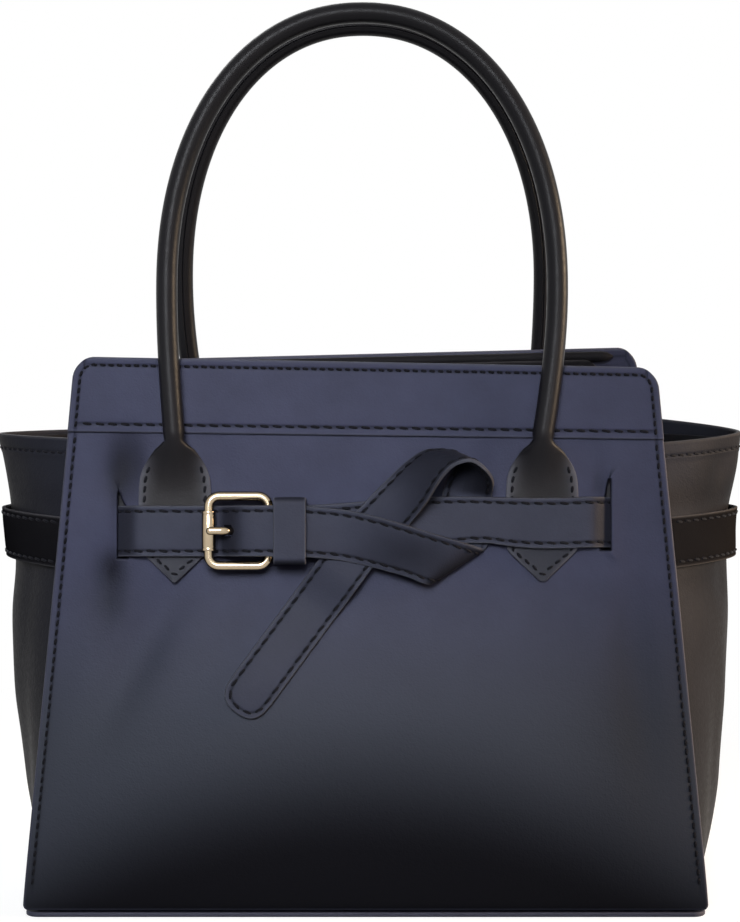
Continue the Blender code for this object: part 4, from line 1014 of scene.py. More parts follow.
def make_wing(word, side):
    inset, half = edge_profile(SIDE_THICKNESS, SIDE_THICKNESS / 2, 0.0, SIDE_INSETS)
    foot_inset, foot_half = inset[:5], half[:5]
    middle = np.linspace(SIDE_FOOT + 2.5, SIDE_HEIGHT - 12.0, WING_ROWS)
    heights = np.concatenate([SIDE_FOOT + foot_inset, middle, SIDE_HEIGHT - inset[::-1]])
    sizes = np.concatenate([foot_half, np.full(WING_ROWS, SIDE_THICKNESS / 2), half[::-1]])
    below_top = SIDE_HEIGHT - heights
    hem = HEM_RISE * np.clip((HEM_DEPTH - below_top) / 0.9, 0, 1) * (sizes > 0)
    hem -= HEM_GROOVE * np.exp(-((below_top - HEM_HEIGHT) / 0.6) ** 2)
    points, normals = wing_surface(side, heights, 0.0)
    columns = points.shape[1]
    column_size = np.ones(columns)
    column_size[[0, -1]] = 0
    column_size[[1, -2]] = 0.8
    sizes = sizes[:, None] * column_size
    outer = points + normals * (sizes + hem[:, None] * (sizes > 0))[..., None]
    inner = points - normals * sizes[..., None]
    # Paler hem edge: partly edge wear, partly a painted highlight
    edge = np.repeat(np.clip(1.0 - below_top / 1.2, 0, 1)[:, None], columns, axis=1)
    limits = np.array([wall_inner_depth(height, WALL_THICKNESS) for height in heights])
    # Painted shade beside the straps and over the left wing
    for shade in WING_PAINTED_SHADE[side]:
        edge = edge - dent(points[..., 1] / limits[:, None], heights[:, None], *shade)
    piece = skin(word + "_side_leather", outer, inner, side_leather, "bag", edge)
    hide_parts(word + "_side")
    hem_points, hem_normals = wing_surface(side, [SIDE_HEIGHT - HEM_HEIGHT], SIDE_THICKNESS / 2)
    return piece, (hem_points[0, 6:-6], hem_normals[0, 6:-6], BELT_PITCH - 0.8)


# Painted shade: the wings are painted darker and browner where they roll away from the front
side_leather = leather("side_leather", (0.024, 0.026, 0.037), (0.045, 0.043, 0.047), 0.5, gloss=0.03,
                       painted_sheen=0.95, painted_sheen_power=1.7, painted_rolloff_colour=(0.0098, 0.0082, 0.0068))
hem_runs = []
for word, side in SIDES:
    piece, run = make_wing(word, side)
    hem_runs.append(run)
    print(piece.name, len(piece.data.polygons))
sew("hem_stitches", hem_runs)

# %% [markdown]
# ## Inside the mouth
#
# A look down into the bag meets leather facings along the rim, a cloth lining sewn below them, and the two
# halves of a magnetic snap. The facings are sheets like the panels. The lining is a soft bag of cloth that
# hangs from the facings and hides the boards, so it gets loose folds that only ever fall inwards, away from
# the walls.

# %% Facings
FACING_HALF_WIDTH = 112.0
FACING_FOOT = 194.4
FACING_TOP = WALL_HEIGHT - 4.0
FACING_THICKNESS = 1.2
SIDE_FACING_COLUMNS = 70
BOARD_THICKNESS = 2.0
LINING_INSET = WALL_THICKNESS + BOARD_THICKNESS + 2 * GAP
LINING_HEIGHT = 195.0


def facing_half_width(up):
    """The same at every height, for one height or a grid of them."""
    return FACING_HALF_WIDTH + 0.0 * up


facing_runs = []
for word, wall in WALLS:
    facing = wall_sheet(
        word + "_facing_leather", wall, (FACING_FOOT, FACING_TOP), -LINING_INSET, FACING_THICKNESS,
        inner_leather, facing_half_width, follow=0.0, stitch_rows=(),
    )
    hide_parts(word + "_facing")
    inside = -LINING_INSET - FACING_THICKNESS
    for up in (FACING_FOOT + 3.0, FACING_TOP - 3.4):
        across = np.linspace(-FACING_HALF_WIDTH + 6, FACING_HALF_WIDTH - 6, 60)
        run = wall_run(wall, across, np.full(60, up), inside, SIDE_PITCH, follow=0.0)
        facing_runs.append((run[0], -run[1], run[2]))
sew("facing_stitches", facing_runs)


def band_on_wing(side, heights, outwards, inset, columns, standoff=0.0):
    """A band that follows a wing from wall to wall, as a function from offsets to points."""
    rows = []
    for height in heights:
        curve = wing_curve(side, height, standoff)
        curve = curve + plan_normals(curve) * outwards
        limit = wall_inner_depth(height, inset)
        depth = np.linspace(-limit, limit, columns)
        rows.append(np.column_stack([np.interp(depth, curve[:, 1], curve[:, 0]), depth]))
    rows = np.array(rows)
    normals = np.array([plan_normals(row) for row in rows])
    tall = np.repeat(heights[:, None], columns, axis=1)

    def placed(offset):
        moved = rows + normals * offset[..., None]
        return np.stack([side * moved[..., 0], moved[..., 1], tall], axis=-1)

    return placed


def make_side_facing(word, side):
    """The leather strip inside the top of a wing."""
    low, high = LINING_HEIGHT + GAP, SIDE_HEIGHT - 1.5
    inwards = -(SIDE_THICKNESS / 2 + 2 * GAP + FACING_THICKNESS / 2)
    inset, half = edge_profile(FACING_THICKNESS, FACING_THICKNESS / 2, 0.0, (1.2, 2.0, 3.0))
    heights = np.concatenate([low + inset, high - inset[::-1]])
    sizes = np.repeat(np.concatenate([half, half[::-1]])[:, None], SIDE_FACING_COLUMNS, axis=1)
    sizes[:, [0, -1]] = 0
    placed = band_on_wing(side, heights, inwards, LINING_INSET + FACING_THICKNESS, SIDE_FACING_COLUMNS)
    piece = skin(
        word + "_side_facing_leather", placed(sizes), placed(-sizes), inner_leather, "bag"
    )
    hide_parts(word + "_side_facing")
    return piece


for word, side in SIDES:
    print(make_side_facing(word, side).name)

# %% Lining
LINING_THICKNESS = 0.8
LINING_SLACK = 1.2
LINING_FOOT = BASE_THICKNESS + BOARD_THICKNESS + 3 * GAP
LINING_STEPS = 90
LINING_ROWS = 70
LINING_SEAM_ALLOWANCE = 12.0
FLOOR_ROWS = 16


def lining_loop(height):
    """Plan outline of the lining at a height, once round in even steps."""
    depth = wall_inner_depth(height, LINING_INSET)
    depths = np.linspace(-depth, depth, 40)

    def inside_wing(side):
        curve = wing_curve(side, max(height, SIDE_FOOT))
        curve = curve - plan_normals(curve) * (SIDE_THICKNESS / 2 + LINING_SLACK)
        return np.column_stack([side * np.interp(depths, curve[:, 1], curve[:, 0]), depths])

    right, left = inside_wing(1), inside_wing(-1)[::-1]
    line = np.vstack([right, left, right[:1]])
    steps = lengths_along(line)
    return at_lengths(line, steps, np.linspace(0, steps[-1], 4 * LINING_STEPS, endpoint=False))


def lining_fold(height, count):
    """How far the cloth has fallen inwards: loose waves that fade at the rim and the floor."""
    around = np.linspace(0, 2 * np.pi, count, endpoint=False)
    share = (height - LINING_FOOT) / (LINING_HEIGHT - LINING_FOOT)
    loose = math.sin(math.pi * min(max(share, 0.0), 1.0)) ** 0.8
    waves = (
        1.0 + 0.6 * np.sin(9 * around + 3.1 * share) + 0.5 * np.sin(14 * around - 4.0 * share + 1.0)
        + 0.3 * np.sin(23 * around + 5.0 * share + 2.0)
    )
    return 0.9 * loose * np.clip(waves, 0, None)


def make_lining():
    """The lining, the width and length of its cloth laid flat, and the cloth's area."""
    heights = np.linspace(LINING_FOOT, LINING_HEIGHT, LINING_ROWS)
    rows_outer, rows_inner = [], []
    for height in heights:
        outline = lining_loop(height)
        inward = -plan_normals(np.vstack([outline[-1:], outline, outline[:1]]))[1:-1]
        fold = lining_fold(height, len(outline))[:, None]
        rows_outer.append(outline + inward * fold)
        rows_inner.append(outline + inward * (fold + LINING_THICKNESS))
    shares = np.linspace(1, 0.02, FLOOR_ROWS)[:0:-1]
    outer_plan = np.array([rows_outer[0] * share for share in shares] + rows_outer)
    inner_plan = np.array([rows_inner[0] * share for share in shares] + rows_inner)
    outer_tall = np.concatenate([np.full_like(shares, LINING_FOOT), heights])
    inner_tall = np.maximum(outer_tall, LINING_FOOT + LINING_THICKNESS)
    rows, columns = outer_plan.shape[:2]

    def placed(plan, tall):
        return np.dstack([plan, np.repeat(tall[:, None], columns, axis=1)]).reshape(-1, 3)

    total = rows * columns
    middles = [[0.0, 0.0, outer_tall[0]], [0.0, 0.0, inner_tall[0]]]
    points = np.vstack([placed(outer_plan, outer_tall), placed(inner_plan[:-1], inner_tall[:-1]), middles])
    outer_numbers = np.arange(total).reshape(rows, columns)
    inner_numbers = np.vstack([total + outer_numbers[:-1], outer_numbers[-1:]])
    quads = np.vstack([
        grid_quads(outer_numbers, wrap_columns=True), grid_quads(inner_numbers, wrap_columns=True)[:, ::-1],
    ])
    fans = []
    for ring, middle in ((outer_numbers[0], len(points) - 2), (inner_numbers[0][::-1], len(points) - 1)):
        fans.append(np.stack([np.roll(ring, -1), ring, np.full(columns, middle)], axis=1))
    corners = points[quads[:len(quads) // 2]]
    crossed = np.cross(corners[:, 2] - corners[:, 0], corners[:, 3] - corners[:, 1])
    area = np.linalg.norm(crossed, axis=1).sum() / 2
    piece = build_mesh("lining_bag", points, quads, lining_cloth, "bag",
                       triangles=np.vstack(fans))
    around = np.linalg.norm(np.diff(outer_plan, axis=1), axis=2).sum(axis=1).max()
    deep = LINING_HEIGHT - LINING_FOOT + wall_inner_depth(LINING_FOOT, LINING_INSET)
    return piece, (around + LINING_SEAM_ALLOWANCE, deep + LINING_SEAM_ALLOWANCE), area


lining_piece, (lining_width, lining_length), lining_area = make_lining()
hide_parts("lining")
print("lining cut:", round(lining_width), "x", round(lining_length), "mm,", round(lining_area / 100), "cm2")

# %% [markdown]
# ## Base
#
# The base is one flat piece of the same leather with a round cut edge, which shows as a thin light line
# under the front: it is paler, partly because its finish is thin and partly as a painted highlight. It is
# sewn all round, and the bag stands on it, so only its underside tells.

# %% Base panel
BASE_INSETS = (1.3, 2.6, 3.0, 3.4, 3.8, 4.2, 6.0, 9.0)
BASE_EDGE_RADIUS = 0.8
BASE_EDGE_GROOVE = 0.10
BASE_CORNER_RADIUS = 6.0


def base_lines(length, count):
    """Places of the grid lines from edge to edge of the base, and its half thickness at each."""
    inset, half = edge_profile(BASE_THICKNESS, BASE_EDGE_RADIUS, BASE_EDGE_GROOVE, BASE_INSETS)
    middle = np.linspace(-length / 2 + 12, length / 2 - 12, count)
    places = np.concatenate([-length / 2 + inset, middle, length / 2 - inset[::-1]])
    return places, np.concatenate([half, np.full(count, half[-1]), half[::-1]])


def make_base():
    x, size_x = base_lines(BASE_WIDTH, 60)
    y, size_y = base_lines(BASE_DEPTH, 30)
    across, depth = np.meshgrid(x, y)
    aside, ahead = BASE_WIDTH / 2 - np.abs(across), BASE_DEPTH / 2 - np.abs(depth)
    new_aside, new_ahead = rounded_corner(aside, ahead, BASE_CORNER_RADIUS)
    across = np.sign(across) * (BASE_WIDTH / 2 - new_aside)
    depth = np.sign(depth) * (BASE_DEPTH / 2 - new_ahead)
    sizes = np.minimum(size_x[None, :], size_y[:, None])
    near = np.minimum(aside, ahead)
    groove = STITCH_GROOVE * groove_share(near)
    middle = BASE_THICKNESS / 2
    outer = np.dstack([across, depth, middle + sizes])
    inner = np.dstack([across, depth, middle - np.maximum(sizes - groove, 0)])
    # Paler edge: partly edge wear, partly a painted highlight
    edge = np.clip(1.2 - near / 0.9, 0, 1)
    return skin("base_leather", outer, inner, panel_leather, "bag", edge)


base_piece = make_base()
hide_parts("base_panel")
print("base faces:", len(base_piece.data.polygons))

# %% [markdown]
# ## Straps
#
# The belt is a flat strap with two edges, a groove in each edge where its layers are glued, a soft crown
# between two rows of stitches, and a rounded end. It is the same strap wherever it goes, so one function
# sweeps its section along a line of stations, each with a middle and a vector from edge to edge. The
# stations come from the rule that the maker of the solids used: out of the slot, layer on layer, over the
# bar of the buckle, and round the knot.

# %% A line for a strap to follow
STRAP_THICKNESS = 1.8
LAYER = STRAP_THICKNESS + GAP
LINE_STEP = 0.5
RISE_REACH = 0.8


def layer_out(layer):
    return GAP + STRAP_THICKNESS / 2 + layer * LAYER


def upright(place, share=1.0):
    """A station whose line from edge to edge stands straight up the wall."""
    return (*place, 0.0, share * STRAP_WIDTH / 2, 0.0)


def strap_line(stations, reach=1.1, ahead=0.0):
    """A smooth line through stations of (across, up, out, half edge vector), in fine even steps."""
    rows = np.array(stations, float)
    if ahead:
        last = rows[-1].copy()
        last[:3] += unit(rows[-1, :3] - rows[-2, :3]) * ahead
        rows = np.vstack([rows, last])
    length = lengths_along(rows[:, :3])
    places = np.linspace(0, length[-1], int(length[-1] / LINE_STEP))
    even = softened(at_lengths(rows, length, places), reach, places[1])
    centre, edge = even[:, :3], even[:, 3:]
    rise = unit(np.cross(np.gradient(centre, axis=0), edge))
    return {"length": lengths_along(centre), "centre": centre, "edge": edge,
            "rise": softened(rise, RISE_REACH, places[1])}


def on_strap(line, along, aside, lift):
    """Places (across, up, out) on a strap: along it, aside in half widths and lifted off its middle."""
    centre, edge, rise = (
        at_lengths(line[part], line["length"], along) for part in ("centre", "edge", "rise")
    )
    return centre + edge * np.asarray(aside, float)[..., None] + rise * np.asarray(lift, float)[..., None]


def wall_place(wall, place):
    """Frame places of (across, up, out) places, lifted where the wall swells."""
    across, up, out = np.moveaxis(place, -1, 0)
    return on_wall(wall, across, up, out + belly(across, up))


# %% Strap meshes
STRAP_SKIN = 1.7
STRAP_ROUND = 0.45
STRAP_EDGE_GROOVE = 0.14
STRAP_INSETS = (0.8, 1.3, 1.8, 2.15, 2.5, 2.85, 3.2, 3.8, 4.8, 6.4, 8.6)
STRAP_STITCH_INSET = 2.5
STRAP_GROOVE = 0.26
STRAP_GROOVE_REACH = 0.45
STRAP_CROWN = 0.22
STRAP_CROWN_REACH = 4.5
STRAP_CROWN_POWER = 0.7
STRAP_RUN_POINTS = 300
ROW_STEP = 1.25
TIP_POWER = 2.5
HOLE_ROUND = (0.0, 0.15, 0.5)
HOLE_ROUND_HALF = (0.0, 0.5, 0.85)


def tip_map(aside, ahead):
    """Bends the square end of a strap's grid to a rounded tip; both run to 1 at the border."""
    reach = np.maximum(np.abs(aside), ahead)
    safe = np.where(reach > 0, reach, 1)
    low = np.minimum(np.abs(aside), ahead) / safe
    angle = np.where(np.abs(aside) >= ahead, math.pi / 4 * low, math.pi / 2 - math.pi / 4 * low)
    power = 2 / TIP_POWER
    new_aside = np.sign(aside) * reach * np.cos(angle) ** power
    return np.where(ahead > 0, new_aside, aside), np.where(ahead > 0, reach * np.sin(angle) ** power, ahead)


def strap_relief(near):
    """Depth of the stitched groove and height of the crown at a distance from a strap's edge."""
    groove = STRAP_GROOVE * np.exp(-((near - STRAP_STITCH_INSET) / STRAP_GROOVE_REACH) ** 2)
    crown = np.clip((near - STRAP_STITCH_INSET) / STRAP_CROWN_REACH, 0, 1) ** STRAP_CROWN_POWER
    return groove, STRAP_CROWN * crown


def strap_piece(name, wall, line, finish, tip=False, hole=None, end=None, shades=()):
    """A strap along a line, with an optional rounded tip and a hole given as (from, to, half width)."""
    half_width = STRAP_WIDTH / 2
    inset, half = edge_profile(STRAP_SKIN, STRAP_ROUND, STRAP_EDGE_GROOVE, STRAP_INSETS)
    full = STRAP_SKIN / 2
    column_inset = np.concatenate([inset, [half_width], inset[::-1]])
    aside = np.concatenate([inset - half_width, [0.0], half_width - inset[::-1]]) / half_width
    column_half = np.concatenate([half, [full], half[::-1]])
    total = line["length"][-1] if end is None else end
    body_end = total - half_width if tip else total - inset[-1]
    body = np.linspace(inset[-1], body_end, max(int((body_end - inset[-1]) / ROW_STEP), 3))
    if hole is not None:
        low, high, wide = hole
        rim = [value for step in HOLE_ROUND for value in (low - step, high + step)]
        body = np.array(sorted([*body, *rim, *np.linspace(low, high, 7)[1:-1]]))
        body = body[np.concatenate([[True], np.diff(body) > 0.04])]
        sides = [sign * (wide + step) / half_width for sign in (-1, 1) for step in HOLE_ROUND]
        order = np.argsort(np.concatenate([aside, sides]))
        aside = np.concatenate([aside, sides])[order]
        column_half = np.concatenate([column_half, np.full(len(sides), full)])[order]
        side_inset = [half_width - abs(place) * half_width for place in sides]
        column_inset = np.concatenate([column_inset, side_inset])[order]
    along = np.concatenate([inset[:-1], body, total - inset[:-1][::-1]])
    row_inset = np.concatenate([inset[:-1], np.full(len(body), half_width), inset[:-1][::-1]])
    row_half = np.concatenate([half[:-1], np.full(len(body), full), half[:-1][::-1]])
    s, c = np.meshgrid(along, aside, indexing="ij")
    sizes = np.minimum(row_half[:, None], column_half[None, :])
    near = np.minimum(row_inset[:, None], column_inset[None, :])
    if tip:
        ahead = (s - (total - half_width)) / half_width
        near = np.where(ahead > 0, half_width * (1 - np.maximum(np.abs(c), ahead)), near)
        c, new_ahead = tip_map(c, ahead)
        s = np.where(ahead > 0, total - half_width + new_ahead * half_width, s)
    keep = None
    if hole is not None:
        away = np.maximum(np.maximum(low - s, s - high), np.abs(c) * half_width - wide)
        sizes = np.where(away < 0.6, np.minimum(sizes, np.interp(away, HOLE_ROUND, HOLE_ROUND_HALF)), sizes)
        keep = uncut(away < 0.01)
    groove, crown = strap_relief(near)
    solid = sizes > 0
    face = np.where(solid, sizes - groove + crown * (sizes >= full - 0.01), 0.0)
    back = np.where(solid, sizes - groove, 0.0)
    outer = wall_place(wall, on_strap(line, s, c, face))
    inner = wall_place(wall, on_strap(line, s, c, -back))
    # Paler edges, partly edge wear and partly a painted highlight, and painted shade in the stitched grooves
    edge = np.clip(1.15 - near / 0.8, 0, 1) - GROOVE_PAINTED_SHADE * groove / STRAP_GROOVE
    across, up, _ = np.moveaxis(on_strap(line, s, c, np.zeros_like(s)), -1, 0)
    # Painted shade where the given shades lie
    for shade in shades:
        edge -= dent(across, up, *shade)
    return skin(name, outer, inner, finish, "bag", edge, keep=keep)


def strap_runs(wall, line, start, end, faces=(1, -1), tip=False):
    """Runs of stitches along both edges of a strap, on either face, and round its tip."""
    half_width = STRAP_WIDTH / 2
    inset = 1 - STRAP_STITCH_INSET / half_width
    stop = end - half_width if tip else end
    along = np.linspace(start, stop, STRAP_RUN_POINTS)
    edge = np.full_like(along, inset)
    paths = [(along, edge), (along, -edge)]
    if tip:
        turn = np.linspace(0, math.pi, 40)[1:-1]
        power = 2 / TIP_POWER
        tip_aside = np.sign(np.cos(turn)) * np.abs(np.cos(turn)) ** power * inset
        tip_along = stop + np.sin(turn) ** power * inset * half_width
        paths = [(np.concatenate([along, tip_along, along[::-1]]), np.concatenate([edge, tip_aside, -edge]))]
    runs = []
    for face in faces:
        lift = face * (STRAP_SKIN / 2 - STRAP_GROOVE * 0.4)
        for s, c in paths:
            points = wall_place(wall, on_strap(line, s, c, np.full_like(s, lift)))
            above = wall_place(wall, on_strap(line, s, c, np.full_like(s, lift + face)))
            runs.append((points, above - points, BELT_PITCH))
    return runs


print("strap helpers ready")

# %% [markdown]
# ## The belt's two front straps
#
# The left strap leaves its slot, runs over the handle's foot, dips under the buckle's roller, climbs over
# the pivot bar and its own keeper, and is then tied once round the right strap, with its tail hanging. The
# right strap runs behind the knot to the buckle and is folded back round the pivot bar. The knot is the
# one shape that no rule gives: its stations are listed in strap widths from the knot's middle.

# %% Buckle places
WIRE_RADIUS = 2.1
FRAME_LENGTH = 30.4
FRAME_WIDTH = 34.8
FRAME_CORNER_RADIUS = 4.6
FRAME_LEFT = 71.1
ROLLER_RADIUS = 2.9
ROLLER_LENGTH = 17.5
RUNNING_GAP = 0.3
PRONG_RADIUS = 1.8
PRONG_OVERHANG = 0.3
EYE_RADIUS = 3.4
PRONG_SLOT_WIDTH = 4.8
HOLE_LENGTH = 4.6
HOLE_WIDTH = 4.4
HOLE_SHARE = 0.335
KEEPER_LENGTH = 14.2
KEEPER_THICKNESS = 1.0
KEEPER_SLACK = 2.4
ROOT_LENGTH = 11.0
FRAME_PIVOT_ACROSS = -FRAME_LEFT + FRAME_LENGTH - WIRE_RADIUS
FRAME_BAR_ACROSS = -FRAME_LEFT + WIRE_RADIUS
SPACING = FRAME_PIVOT_ACROSS - FRAME_BAR_ACROSS
PIVOT_OUT = layer_out(1) + STRAP_THICKNESS / 2 + GAP + WIRE_RADIUS
ROLLER_OUT = layer_out(1) + STRAP_THICKNESS / 2 + GAP + ROLLER_RADIUS
WRAP_RADIUS = WIRE_RADIUS + RUNNING_GAP + STRAP_THICKNESS / 2
CREST_OUT = PIVOT_OUT + WRAP_RADIUS + LAYER
KEEPER_LEFT = FRAME_PIVOT_ACROSS + WIRE_RADIUS + GAP
KEEPER_RIGHT = KEEPER_LEFT + KEEPER_LENGTH


def belt_up(across):
    """Height of the belt's middle line, which runs between the two slots."""
    share = np.clip((across - KEEPER_RIGHT) / (SLOT_ACROSS - KEEPER_RIGHT), 0, 1)
    return LEFT_SLOT_UP + (RIGHT_SLOT_UP - LEFT_SLOT_UP) * float(share)


def root_stations(side, up, layer):
    """From the sewn root behind the wall, through the slot, to a layer in front."""
    behind = -(WALL_THICKNESS + GAP + STRAP_THICKNESS / 2)
    level = layer_out(layer)
    places = ((ROOT_LENGTH, behind), (1.2, behind), (0.0, behind + 0.3), (-5.4, level - 1.9),
              (-7.8, level - 0.3), (-9.4, level))
    return [upright((side * (SLOT_LIP[side] + beyond), up, out)) for beyond, out in places]


print("buckle from", round(-FRAME_LEFT, 1), "to", round(FRAME_PIVOT_ACROSS + WIRE_RADIUS, 1), "mm across")

# %% The left strap and its knot
BILLET_CLIMB_SHARES = (
    (0.10, 0.0), (0.20, 0.04), (0.29, 0.20), (0.38, 0.45), (0.46, 0.68), (0.57, 0.87), (0.74, 0.97),
    (1.0, 1.0),
)
BILLET_FALL_SHARES = ((0.30, 0.18), (0.60, 1.05), (0.85, 1.60))
KNOT_ACROSS = 20.0
KNOT_STATIONS = 84
# Where the knot shades the strap under it: middle (across, up), reach and share
KNOT_SHADES = (((20.0, 157.0), (17.0, 10.0), 0.62), ((33.0, 148.0), (10.0, 7.0), 0.35))
TAIL_NARROWING_SHARE = 0.06
# In strap widths from the knot's middle: across, up, layer, the angle and lift of the line from edge to
# edge, in degrees, and its length in strap widths
KNOT_SHARES = (
    (-1.940, -0.085, 3.40, 88, 0, 1.0), (-1.436, -0.126, 2.95, 85, 3, 1.0),
    (-0.929, -0.222, 3.24, 79, 9, 1.0), (-0.367, -0.371, 3.43, 75, 12, 1.0),
    (0.190, -0.540, 3.43, 62, 9, 1.0), (0.625, -0.685, 3.12, 44, 4, 1.15),
    (0.842, -0.740, 1.80, 36, 1, 1.22), (0.920, -0.725, 0.42, 33, 0, 1.18),
    (1.000, -0.600, 0.0, 24, 0, 1.08), (1.076, -0.017, 0.0, 1, 0, 1.0),
    (1.090, 0.420, 0.0, -1, 0, 1.0), (1.105, 0.680, 0.05, -2, 1, 1.0),
    (1.148, 0.860, 1.45, -5, 17, 1.0), (1.204, 1.080, 3.40, -15, 41, 1.0),
    (1.175, 1.272, 4.79, -27, 60, 1.0), (1.007, 1.391, 5.50, -31, 66, 1.0),
    (0.757, 1.395, 5.80, -36, 61, 1.0), (0.490, 1.320, 5.75, -38, 51, 1.0),
    (0.190, 1.050, 5.05, -32, 38, 1.0), (-0.065, 0.735, 3.86, -30, 22, 1.0),
    (-0.385, 0.370, 2.66, -32, 6, 1.0), (-0.700, 0.030, 2.05, -35, 1, 1.0),
    (-0.987, -0.295, 2.0, -36.4, 0, 1.0), (-1.369, -0.815, 2.0, -36.4, 0, 1.0),
    (-1.542, -1.050, 1.5, -36.4, 0, 1.0), (-1.742, -1.317, 0.6, -36.4, 0, 1.0),
    (-1.938, -1.584, 0.06, -36.4, 0, 1.0), (-2.364, -2.162, 0.0, -36.4, 0, 1.0),
    (-3.120, -3.188, 0.0, -36.4, 0, 1.0),
)


def spline_through(rows, count):
    """Evenly timed points on a smooth curve through rows of numbers."""
    rows = np.array(rows, float)
    steps = np.linalg.norm(np.diff(rows[:, :3], axis=0), axis=1)
    times = np.concatenate([[0.0], np.cumsum(np.sqrt(steps))])
    padded = np.vstack([2 * rows[0] - rows[1], rows, 2 * rows[-1] - rows[-2]])
    found = []
    for time in np.linspace(0.0, times[-1], count):
        span = min(int(np.searchsorted(times, time, side="right")) - 1, len(rows) - 2)
        share = (time - times[span]) / (times[span + 1] - times[span])
        before, start, end, after = padded[span:span + 4]
        found.append(0.5 * (
            2 * start + (end - before) * share
            + (2 * before - 5 * start + 4 * end - after) * share ** 2
            + (3 * start - before - 3 * end + after) * share ** 3
        ))
    return found


def knot_stations():
    """Stations of the strap's free end, round the right strap and down to the tail."""
    rows = []
    middle_up = belt_up(KNOT_ACROSS)
    for across, up, layer, angle, lift, length in KNOT_SHARES:
        turn, tilt = math.radians(angle), math.radians(lift)
        rows.append((
            KNOT_ACROSS + across * STRAP_WIDTH, middle_up + up * STRAP_WIDTH, layer_out(layer),
            math.cos(turn) * math.cos(tilt), math.sin(turn) * math.cos(tilt), math.sin(tilt), length,
        ))
    stations = []
    for step, row in enumerate(spline_through(rows, KNOT_STATIONS)):
        narrowed = row[6] * (1 - TAIL_NARROWING_SHARE * step / KNOT_STATIONS) * STRAP_WIDTH / 2
        stations.append((row[0], row[1], max(row[2], layer_out(0)), *(unit(row[3:6]) * narrowed)))
    return stations


def billet_stations():
    up, low = LEFT_SLOT_UP, layer_out(1)
    rows = root_stations(-1, up, 1)
    rows.append(upright((FRAME_BAR_ACROSS - ROLLER_RADIUS, up, low)))
    for along, climb in BILLET_CLIMB_SHARES:
        rows.append(upright((FRAME_BAR_ACROSS + along * SPACING, up, low + climb * (CREST_OUT - low))))
    for along, fall in BILLET_FALL_SHARES:
        across = FRAME_PIVOT_ACROSS + along * (KEEPER_RIGHT - FRAME_PIVOT_ACROSS)
        rows.append(upright((across, up, CREST_OUT - fall * LAYER)))
    return rows + knot_stations()


billet_line = strap_line(billet_stations(), ahead=STRAP_WIDTH / 2)
billet_length = billet_line["length"][-1]
hole_middle = float(np.interp(
    FRAME_BAR_ACROSS + HOLE_SHARE * SPACING, billet_line["centre"][:200, 0], billet_line["length"][:200]
))
billet = strap_piece(
    "billet_strap_leather", FRONT, billet_line, strap_leather, tip=True,
    hole=(hole_middle - HOLE_LENGTH / 2, hole_middle + HOLE_LENGTH / 2, HOLE_WIDTH / 2),
    shades=KNOT_SHADES,
)
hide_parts("billet_strap")
belt_runs = strap_runs(FRONT, billet_line, 8.0, billet_length, tip=True)
print("left strap", round(billet_length), "mm long,", len(billet.data.polygons), "faces")

# %% The right strap
PINCH_SHARES = (1.36, 0.60, 0.10)
PULL_SHARES = (0.45, 1.60, 0.10)
CHAPE_RETURN_SHARES = ((0.0, 0.0), (0.25, 0.18), (0.5, 0.72), (0.7, 1.0), (1.12, 1.0))


def knot_bump(across, middle, length, height):
    """A smooth bump of this height at a place, all in strap widths from the knot."""
    return height * math.exp(-(((across - KNOT_ACROSS) / STRAP_WIDTH - middle) / length) ** 2)


def chape_stations():
    rows = root_stations(1, RIGHT_SLOT_UP, 1)
    level = layer_out(1)
    for across in np.linspace(rows[-1][0], FRAME_PIVOT_ACROSS, 17)[1:]:
        pinch = knot_bump(across, *PINCH_SHARES)
        up = belt_up(across) + (knot_bump(across, *PULL_SHARES) + pinch / 2) * STRAP_WIDTH
        rows.append(upright((across, up, level), 1 - pinch))
    for angle in np.linspace(0, math.pi, 9)[1:-1]:
        rows.append(upright((
            FRAME_PIVOT_ACROSS - WRAP_RADIUS * math.sin(angle), LEFT_SLOT_UP,
            PIVOT_OUT - WRAP_RADIUS * math.cos(angle),
        )))
    crest, flat = PIVOT_OUT + WRAP_RADIUS, layer_out(2)
    for share, fall in CHAPE_RETURN_SHARES:
        across = FRAME_PIVOT_ACROSS + share * (KEEPER_RIGHT - FRAME_PIVOT_ACROSS)
        rows.append(upright((across, belt_up(across), crest + fall * (flat - crest))))
    return rows


chape_line = strap_line(chape_stations(), reach=0.6)
wrap_middle = float(chape_line["length"][np.argmin(chape_line["centre"][:, 0])])
slot_reach = EYE_RADIUS + 3 * GAP + math.pi / 2 * WRAP_RADIUS
chape = strap_piece(
    "chape_strap_leather", FRONT, chape_line, strap_leather,
    hole=(wrap_middle - slot_reach, wrap_middle + slot_reach, PRONG_SLOT_WIDTH / 2),
)
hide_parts("chape_strap")
belt_runs += strap_runs(FRONT, chape_line, 8.0, wrap_middle - 2.0, faces=(-1,))
sew("belt_stitches", belt_runs)
print("right strap", round(chape_line["length"][-1]), "mm long")

# %% [markdown]
# ## The belt round the sides and the back
#
# A short strap wraps each wing, tucked under the borders of both walls, and a plain one crosses the back
# from slot to slot. The side straps follow the wing's own curve, a little outside it.

# %% Side straps
SIDE_STRAP_UP = 163.0
SIDE_STRAP_STANDOFF = 2.2
SIDE_STRAP_COLUMNS = 120


